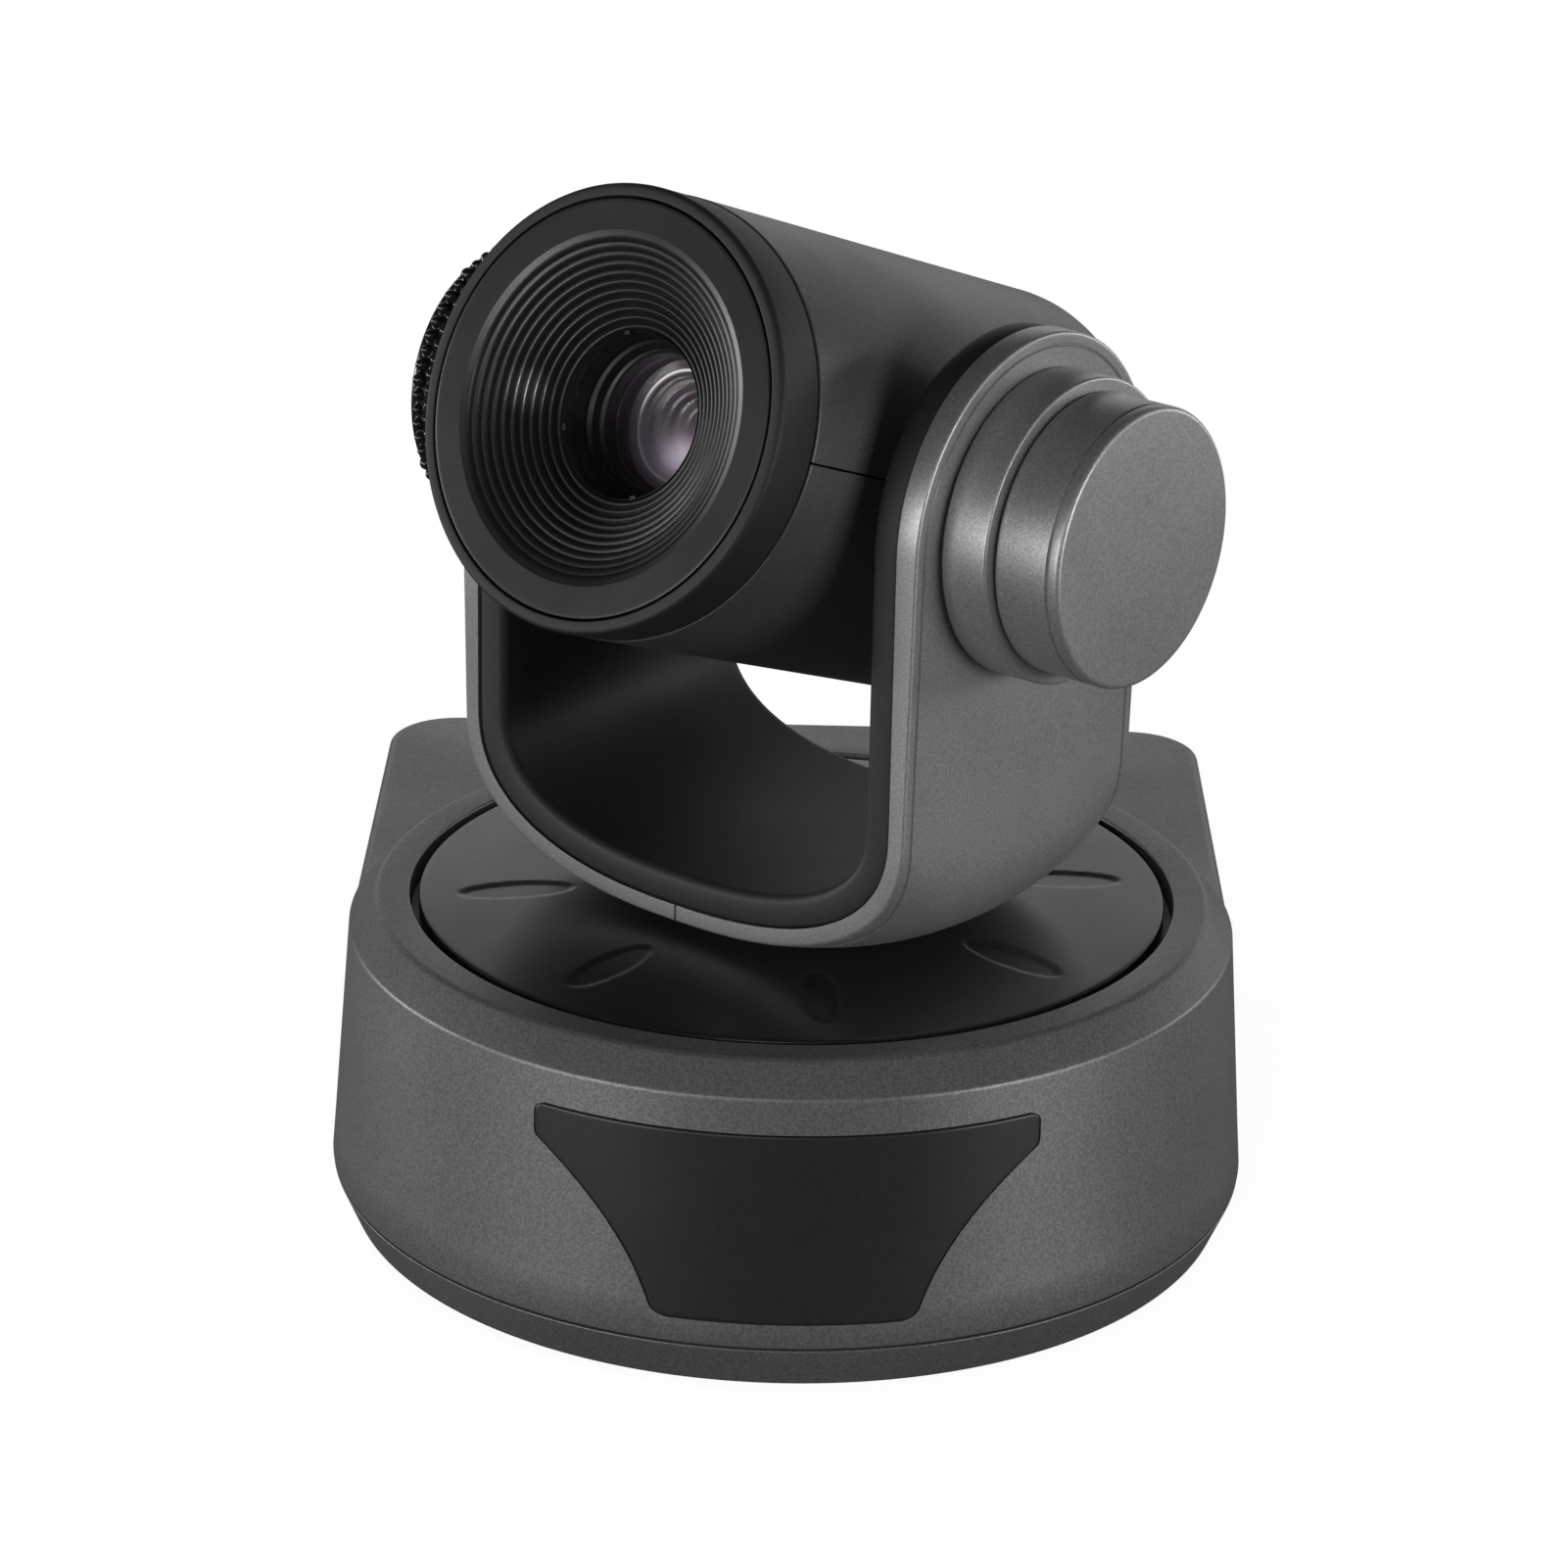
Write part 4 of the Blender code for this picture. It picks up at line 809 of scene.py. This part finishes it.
def glass(name, radius, edge_height, bulge):
    """Round glass element with a domed front."""
    sphere = (radius ** 2 + bulge ** 2) / (2 * bulge)
    centre = edge_height + bulge - sphere
    front = [(r, centre + math.sqrt(sphere ** 2 - r ** 2)) for r in np.linspace(0, radius, 16)]
    back = [(radius, edge_height - GLASS_THICK), (0, edge_height - GLASS_THICK)]
    return turned(name, front + back, LENS, 128, closed=False)


# ---------------------------------------------------------------- material helpers
def new_material(name):
    mat = bpy.data.materials.new(name)
    mat.use_nodes = True
    nodes, links = mat.node_tree.nodes, mat.node_tree.links
    return mat, nodes, links, nodes["Principled BSDF"]


def object_coords(nodes):
    return nodes.new("ShaderNodeTexCoord").outputs["Object"]


def noise(nodes, links, vector, scale, detail=2.0):
    texture = nodes.new("ShaderNodeTexNoise")
    texture.inputs["Scale"].default_value = scale
    texture.inputs["Detail"].default_value = detail
    links.new(vector, texture.inputs["Vector"])
    return texture.outputs["Fac"]


def bands(nodes, links, source, stops):
    """Colour ramp through (position, colour) stops."""
    node = nodes.new("ShaderNodeValToRGB")
    elements = node.color_ramp.elements
    while len(elements) < len(stops):
        elements.new(0.5)
    for element, (position, colour) in zip(elements, stops):
        element.position = position
        element.color = (*colour, 1)
    links.new(source, node.inputs["Fac"])
    return node.outputs["Color"]


def grey_bands(nodes, links, source, low, high, dark, light):
    """Map a stretch of a signal onto two grey values."""
    return bands(nodes, links, source, [(low, (dark,) * 3), (high, (light,) * 3)])


def map_range(nodes, links, source, low, high, start, end):
    node = nodes.new("ShaderNodeMapRange")
    node.inputs["From Min"].default_value = low
    node.inputs["From Max"].default_value = high
    node.inputs["To Min"].default_value = start
    node.inputs["To Max"].default_value = end
    links.new(source, node.inputs["Value"])
    return node.outputs["Result"]


def vector_math(nodes, links, operation, source, value=(0, 0, 0)):
    node = nodes.new("ShaderNodeVectorMath")
    node.operation = operation
    node.inputs[1].default_value = value
    links.new(source, node.inputs[0])
    return node


def bump(nodes, links, shader, source, distance, strength):
    node = nodes.new("ShaderNodeBump")
    node.inputs["Distance"].default_value = distance
    node.inputs["Strength"].default_value = strength
    links.new(source, node.inputs["Height"])
    links.new(node.outputs["Normal"], shader.inputs["Normal"])


# ---------------------------------------------------------------- finishes
def grained(name, value, metallic, roughness, spread=0.16, grain=2600.0, depth=0.25):
    """Painted or moulded surface with a fine grain in its colour, gloss and relief."""
    mat, nodes, links, shader = new_material(name)
    tint = (1.0, 1.0, 1.01)
    dark = [value * (1 - spread) * t for t in tint]
    light = [value * (1 + spread) * t for t in tint]
    coords = object_coords(nodes)
    fine = noise(nodes, links, coords, grain)
    links.new(bands(nodes, links, fine, [(0.38, dark), (0.62, light)]), shader.inputs["Base Color"])
    broad = noise(nodes, links, coords, 60.0, 4.0)
    gloss = grey_bands(nodes, links, broad, 0.3, 0.7, roughness - 0.03, roughness + 0.03)
    links.new(gloss, shader.inputs["Roughness"])
    shader.inputs["Metallic"].default_value = metallic
    bump(nodes, links, shader, fine, 0.00008, depth)
    return mat


def metal(name, colour, roughness):
    """Turned or drawn metal with faint brushed streaks."""
    mat, nodes, links, shader = new_material(name)
    stretch = vector_math(nodes, links, "MULTIPLY", object_coords(nodes), (1, 1, 30))
    streaks = noise(nodes, links, stretch.outputs["Vector"], 120.0)
    gloss = grey_bands(nodes, links, streaks, 0.3, 0.7, roughness - 0.08, roughness + 0.1)
    links.new(gloss, shader.inputs["Roughness"])
    dark = [c * 0.85 for c in colour]
    links.new(bands(nodes, links, streaks, [(0.35, dark), (0.65, colour)]), shader.inputs["Base Color"])
    shader.inputs["Metallic"].default_value = 1.0
    return mat


def circuit_board():
    """Green solder mask with small pale pads."""
    mat, nodes, links, shader = new_material("look_board")
    cells = nodes.new("ShaderNodeTexVoronoi")
    cells.inputs["Scale"].default_value = 300
    links.new(object_coords(nodes), cells.inputs["Vector"])
    stops = [(0.05, (0.35, 0.3, 0.15)), (0.12, (0.01, 0.09, 0.035))]
    links.new(bands(nodes, links, cells.outputs["Distance"], stops), shader.inputs["Base Color"])
    shader.inputs["Roughness"].default_value = 0.4
    return mat


def coated_glass(name, tint, strength):
    """Glass seen against the dark: clear, with a coloured reflection that grows at the rim."""
    mat, nodes, links, shader = new_material(name)
    clear = nodes.new("ShaderNodeBsdfTransparent")
    gloss = nodes.new("ShaderNodeBsdfGlossy")
    smear = noise(nodes, links, object_coords(nodes), 90.0, 1.0)
    links.new(grey_bands(nodes, links, smear, 0.3, 0.7, 0.27, 0.31), gloss.inputs["Roughness"])
    gloss.inputs["Color"].default_value = (*tint, 1)
    weight = nodes.new("ShaderNodeLayerWeight")
    weight.inputs["Blend"].default_value = 0.35
    reflect = map_range(nodes, links, weight.outputs["Facing"], 0, 1, strength, strength + 0.4)
    mix = nodes.new("ShaderNodeMixShader")
    links.new(reflect, mix.inputs["Fac"])
    links.new(clear.outputs["BSDF"], mix.inputs[1])
    links.new(gloss.outputs["BSDF"], mix.inputs[2])
    links.new(mix.outputs["Shader"], nodes["Material Output"].inputs["Surface"])
    nodes.remove(shader)
    return mat


def painted_ring_stops(place, width, colour, ground):
    """Stops of a thin pale ring of painted reflection on a darker ground."""
    return [(place - width, ground), (place, colour), (place + width, ground)]


def painted_coating_reflections(nodes, links, flat, reach):
    """Painted reflections of the coated lenses: dim violet with pale painted rings, and painted light that
    makes it lighter to the lower right.
    """
    violet = (0.12, 0.085, 0.105)
    stops = [(0.0, (0.30, 0.21, 0.22))]
    # pale rings painted in as reflections off the edges of the inner elements
    for place, reflection_level in ((0.27, 0.50), (0.49, 0.42), (0.70, 0.36), (0.93, 0.85)):
        stops += painted_ring_stops(place, 0.035, (reflection_level, reflection_level * 0.88, reflection_level * 0.93), violet)
    painted_light_scaled = vector_math(nodes, links, "SCALE", bands(nodes, links, reach, stops))
    # painted light: the colour is brighter towards the lower right, where a lamp's reflection would fall
    lower_right_light = vector_math(nodes, links, "DOT_PRODUCT", flat, (0.55, -0.65, 0)).outputs["Value"]
    links.new(map_range(nodes, links, lower_right_light, -0.9, 0.9, 0.4, 1.0), painted_light_scaled.inputs["Scale"])
    return painted_light_scaled.outputs["Vector"]


def painted_rim_glints(nodes, links, shader, flat, reach):
    """Two painted glints: pale arcs along the upper rim that glow, as a lamp above leaves in coated glass.
    """
    stops = [(0.0, (0, 0, 0))]
    for place, reflection_level in ((0.80, 0.3), (0.95, 1.0)):
        stops += painted_ring_stops(place, 0.03, (reflection_level,) * 3, (0, 0, 0))
    links.new(bands(nodes, links, reach, stops), shader.inputs["Emission Color"])
    # the painted glints glow only on the upper side, standing in for a lamp above
    upper_glint_side = vector_math(nodes, links, "DOT_PRODUCT", flat, (-0.4, 0.9, 0)).outputs["Value"]
    links.new(map_range(nodes, links, upper_glint_side, 0.35, 1.0, 0.0, 1.1), shader.inputs["Emission Strength"])


def lens_depth():
    """Coatings seen in the depth of the lens, with painted reflections, painted light and glowing painted
    glints.
    """
    mat, nodes, links, shader = new_material("look_lens_depth")
    unit = 1 / (INNER_RADIUS * MM)
    flat = vector_math(nodes, links, "MULTIPLY", object_coords(nodes), (unit, unit, 0)).outputs["Vector"]
    reach = vector_math(nodes, links, "LENGTH", flat).outputs["Value"]
    links.new(painted_coating_reflections(nodes, links, flat, reach), shader.inputs["Base Color"])
    painted_rim_glints(nodes, links, shader, flat, reach)
    shader.inputs["Roughness"].default_value = 0.22
    return mat


def finishes():
    return {
        "base": grained("look_base_paint", 0.205, 0.6, 0.47, 0.18),
        "fork": grained("look_fork_paint", 0.38, 0.65, 0.43, 0.12),
        "head": grained("look_head_paint", 0.10, 0.5, 0.44, 0.14),
        "black": grained("look_black_plastic", 0.020, 0.0, 0.48, 0.2, 1800.0, 0.15),
        "ring": grained("look_ring_plastic", 0.012, 0.0, 0.60, 0.12, 2200.0, 0.1),
        "ribs": grained("look_rib_plastic", 0.012, 0.0, 0.36, 0.12, 2200.0, 0.08),
        "liner": grained("look_liner_plastic", 0.020, 0.0, 0.6, 0.12, 2200.0, 0.1),
        "disc": grained("look_disc_plastic", 0.022, 0.0, 0.34, 0.12, 2000.0, 0.1),
        "window": grained("look_window_plastic", 0.020, 0.0, 0.4, 0.08, 900.0, 0.0),
        "beads": grained("look_bead_plastic", 0.012, 0.0, 0.2, 0.2, 1500.0, 0.05),
        "barrel": grained("look_barrel_black", 0.006, 0.0, 0.35, 0.2, 1500.0, 0.05),
        "rubber": grained("look_rubber", 0.02, 0.0, 0.85, 0.25, 900.0, 0.3),
        "steel": metal("look_steel", (0.55, 0.55, 0.56), 0.32),
        "sheet": metal("look_sheet_metal", (0.62, 0.62, 0.62), 0.42),
        "brass": metal("look_brass", (0.6, 0.45, 0.2), 0.35),
        "board": circuit_board(),
        "lens_depth": lens_depth(),
        "front_glass": coated_glass("look_front_glass", (0.80, 0.74, 0.92), 0.012),
        "inner_glass": coated_glass("look_inner_glass", (0.85, 0.68, 0.78), 0.02),
        "deep_glass": coated_glass("look_deep_glass", (0.75, 0.55, 0.62), 0.20),
    }


# ---------------------------------------------------------------- putting it together
def fit(obj, body, finish, slot, *nodes):
    """Give a new piece its finish, its body and the CAD nodes it stands for."""
    obj.data.materials.clear()
    obj.data.materials.append(finish)
    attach(obj, body)
    if nodes:
        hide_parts(*nodes)


def build_base(looks):
    fit(base_shell(), "base", looks["base"], "grey_paint", "base_shell")
    fit(bottom_cover(), "base", looks["base"], "grey_paint", "bottom_cover")
    fit(ir_window(), "base", looks["window"], "window_plastic", "ir_window")
    for name, radius, x in ROUND_SOCKETS:
        fit(socket(name + "_look", radius, x), "base", looks["sheet"], "sheet_metal", name)


def build_fork(looks):
    fit(turntable(), "fork", looks["disc"], "black_plastic", "turntable_disc")
    fit(fork_shell("fork_shell_right_look", 1), "fork", looks["fork"], "grey_paint", "fork_shell_right")
    fit(fork_shell("fork_shell_left_look", -1), "fork", looks["fork"], "grey_paint", "fork_shell_left")
    fit(fork_liner(), "fork", looks["liner"], "black_plastic", "fork_liner")
    fit(hub_base("hub_base_right_look", RIGHT_HUB), "fork", looks["fork"], "grey_paint", "hub_base_right")
    fit(hub_cap("hub_cap_right_look", RIGHT_HUB), "fork", looks["fork"], "grey_paint", "hub_cap_right")
    fit(hub_base("hub_base_left_look", LEFT_HUB), "fork", looks["beads"], "black_plastic", "hub_base_left")
    fit(beaded_cap("hub_cap_left_look", LEFT_HUB), "fork", looks["beads"], "black_plastic", "hub_cap_left")


def build_head(looks):
    for name, start in (("head_shell_upper", math.pi), ("head_shell_lower", 0.0)):
        fit(head_shell(name + "_look", start), "head", looks["head"], "grey_paint", name)
    fit(lens_ring(), "head", looks["ring"], "black_plastic", "lens_ring")
    fit(lens_baffle(), "head", looks["ribs"], "black_plastic", "lens_baffle")
    fit(lens_barrel(), "head", looks["barrel"], "black_plastic", "lens_barrel")
    fit(inner_rings(), "head", looks["lens_depth"], "coated_glass")
    for name, radius, edge, bulge, finish, *nodes in GLASSES:
        fit(glass(name, radius, edge, bulge), "head", looks[finish], "coated_glass", *nodes)


def finish_cad(looks):
    """Every CAD node still shown gets the procedural finish of its material slot."""
    slots = {part["node"]: part["material_slot"] for part in frame["record"]["subparts"]}
    for name, obj in frame["nodes"].items():
        if obj.hide_render:
            continue
        obj.data.materials.clear()
        obj.data.materials.append(looks[CAD_FINISH[slots[name]]])


# ---------------------------------------------------------------- stage, light and camera
def for_camera(nodes, links, hidden, shown):
    """A value that differs between what the camera sees and what lights and reflections see."""
    path = nodes.new("ShaderNodeLightPath")
    return map_range(nodes, links, path.outputs["Is Camera Ray"], 0, 1, hidden, shown)


def stage():
    """Pale floor that is white to the camera and dimmer in reflections."""
    bpy.ops.mesh.primitive_plane_add(size=FLOOR_SIZE)
    floor = bpy.context.object
    floor.name = "floor"
    mat, nodes, links, shader = new_material("stage_floor")
    shade = nodes.new("ShaderNodeCombineColor")
    grey = for_camera(nodes, links, 0.18, 0.35)
    for channel in ("Red", "Green", "Blue"):
        links.new(grey, shade.inputs[channel])
    links.new(shade.outputs["Color"], shader.inputs["Base Color"])
    shader.inputs["Roughness"].default_value = 0.95
    shader.inputs["Specular IOR Level"].default_value = 0.0
    shader.inputs["Emission Color"].default_value = (1, 1, 1, 1)
    links.new(for_camera(nodes, links, 0.0, 0.92), shader.inputs["Emission Strength"])
    floor.data.materials.append(mat)


def place_light(data, spot, direction):
    obj = bpy.data.objects.new(data.name, data)
    obj.location = spot
    obj.rotation_euler = direction.to_track_quat("-Z", "Y").to_euler()
    bpy.context.scene.collection.objects.link(obj)
    return obj


def softbox(name, spot, size, power):
    data = bpy.data.lights.new(name, "AREA")
    data.shape = "RECTANGLE"
    data.size, data.size_y = size
    data.energy = power
    place_light(data, spot, Vector(SOFTBOX_TARGET) - Vector(spot))


def glint_aim():
    """A spot on the left of the ribbed cone, and the direction its mirror image of the camera lies in."""
    radius, height = cone_point(GLINT_SHARE)
    outward, forward = Vector((-1, 0, 0)), Vector((0, 0, 1))
    slope = math.atan2(RING_FRONT - RECESS_FLOOR, RECESS_RADIUS - BORE_RADIUS)
    normal = LENS.to_3x3() @ (forward * math.cos(slope) - outward * math.sin(slope))
    spot = LENS @ ((outward * radius + forward * height) * MM)
    sight = (camera_place() - spot).normalized()
    return spot, 2 * normal.dot(sight) * normal - sight


def glint_lamp():
    """Small lamp, for the ribbed funnel alone, that draws short strokes on its ribs."""
    spot, towards = glint_aim()
    data = bpy.data.lights.new("glint_lamp", "SPOT")
    data.energy = GLINT_POWER
    data.shadow_soft_size = GLINT_RADIUS
    data.spot_size = math.radians(GLINT_ANGLE)
    data.spot_blend = 0.6
    obj = place_light(data, spot + towards * GLINT_DISTANCE, -towards)
    lit = bpy.data.collections.new("lit_by_glint_lamp")
    lit.objects.link(bpy.data.objects["lens_baffle_look"])
    obj.light_linking.receiver_collection = lit


def lighting():
    for name, spot, size, power in SOFTBOXES:
        softbox(name, spot, size, power)
    glint_lamp()
    world = bpy.data.worlds.new("studio")
    bpy.context.scene.world = world
    world.use_nodes = True
    nodes, links = world.node_tree.nodes, world.node_tree.links
    links.new(for_camera(nodes, links, 0.03, 0.93), nodes["Background"].inputs["Strength"])
    nodes["Background"].inputs["Color"].default_value = (1, 1, 1, 1)


def camera_back():
    """Direction from the object to the camera."""
    elevation = math.radians(CAMERA_ELEVATION)
    return Vector((0, -math.cos(elevation), math.sin(elevation)))


def camera_place():
    x, y, z = CAMERA_TARGET
    return (Vector((x, y, level(z))) + camera_back() * CAMERA_DISTANCE) * MM


def camera():
    """Camera at the viewing angle of the reference view, rolled slightly to the right."""
    roll = math.radians(CAMERA_ROLL)
    back = camera_back()
    right = Vector((1, 0, 0))
    up = back.cross(right)
    turned_right = right * math.cos(roll) + up * math.sin(roll)
    turned_up = up * math.cos(roll) - right * math.sin(roll)
    data = bpy.data.cameras.new("camera")
    data.sensor_width = SENSOR
    data.lens = SENSOR * FOCAL_SHARE
    data.clip_start = 0.01
    obj = bpy.data.objects.new("camera", data)
    rotation = Matrix((turned_right, turned_up, back)).transposed()
    obj.matrix_world = Matrix.Translation(camera_place()) @ rotation.to_4x4()
    bpy.context.scene.collection.objects.link(obj)
    bpy.context.scene.camera = obj


def build():
    looks = finishes()
    build_base(looks)
    build_fork(looks)
    build_head(looks)
    finish_cad(looks)
    stage()
    lighting()
    camera()
    bpy.context.scene.view_settings.view_transform = "Standard"


build()
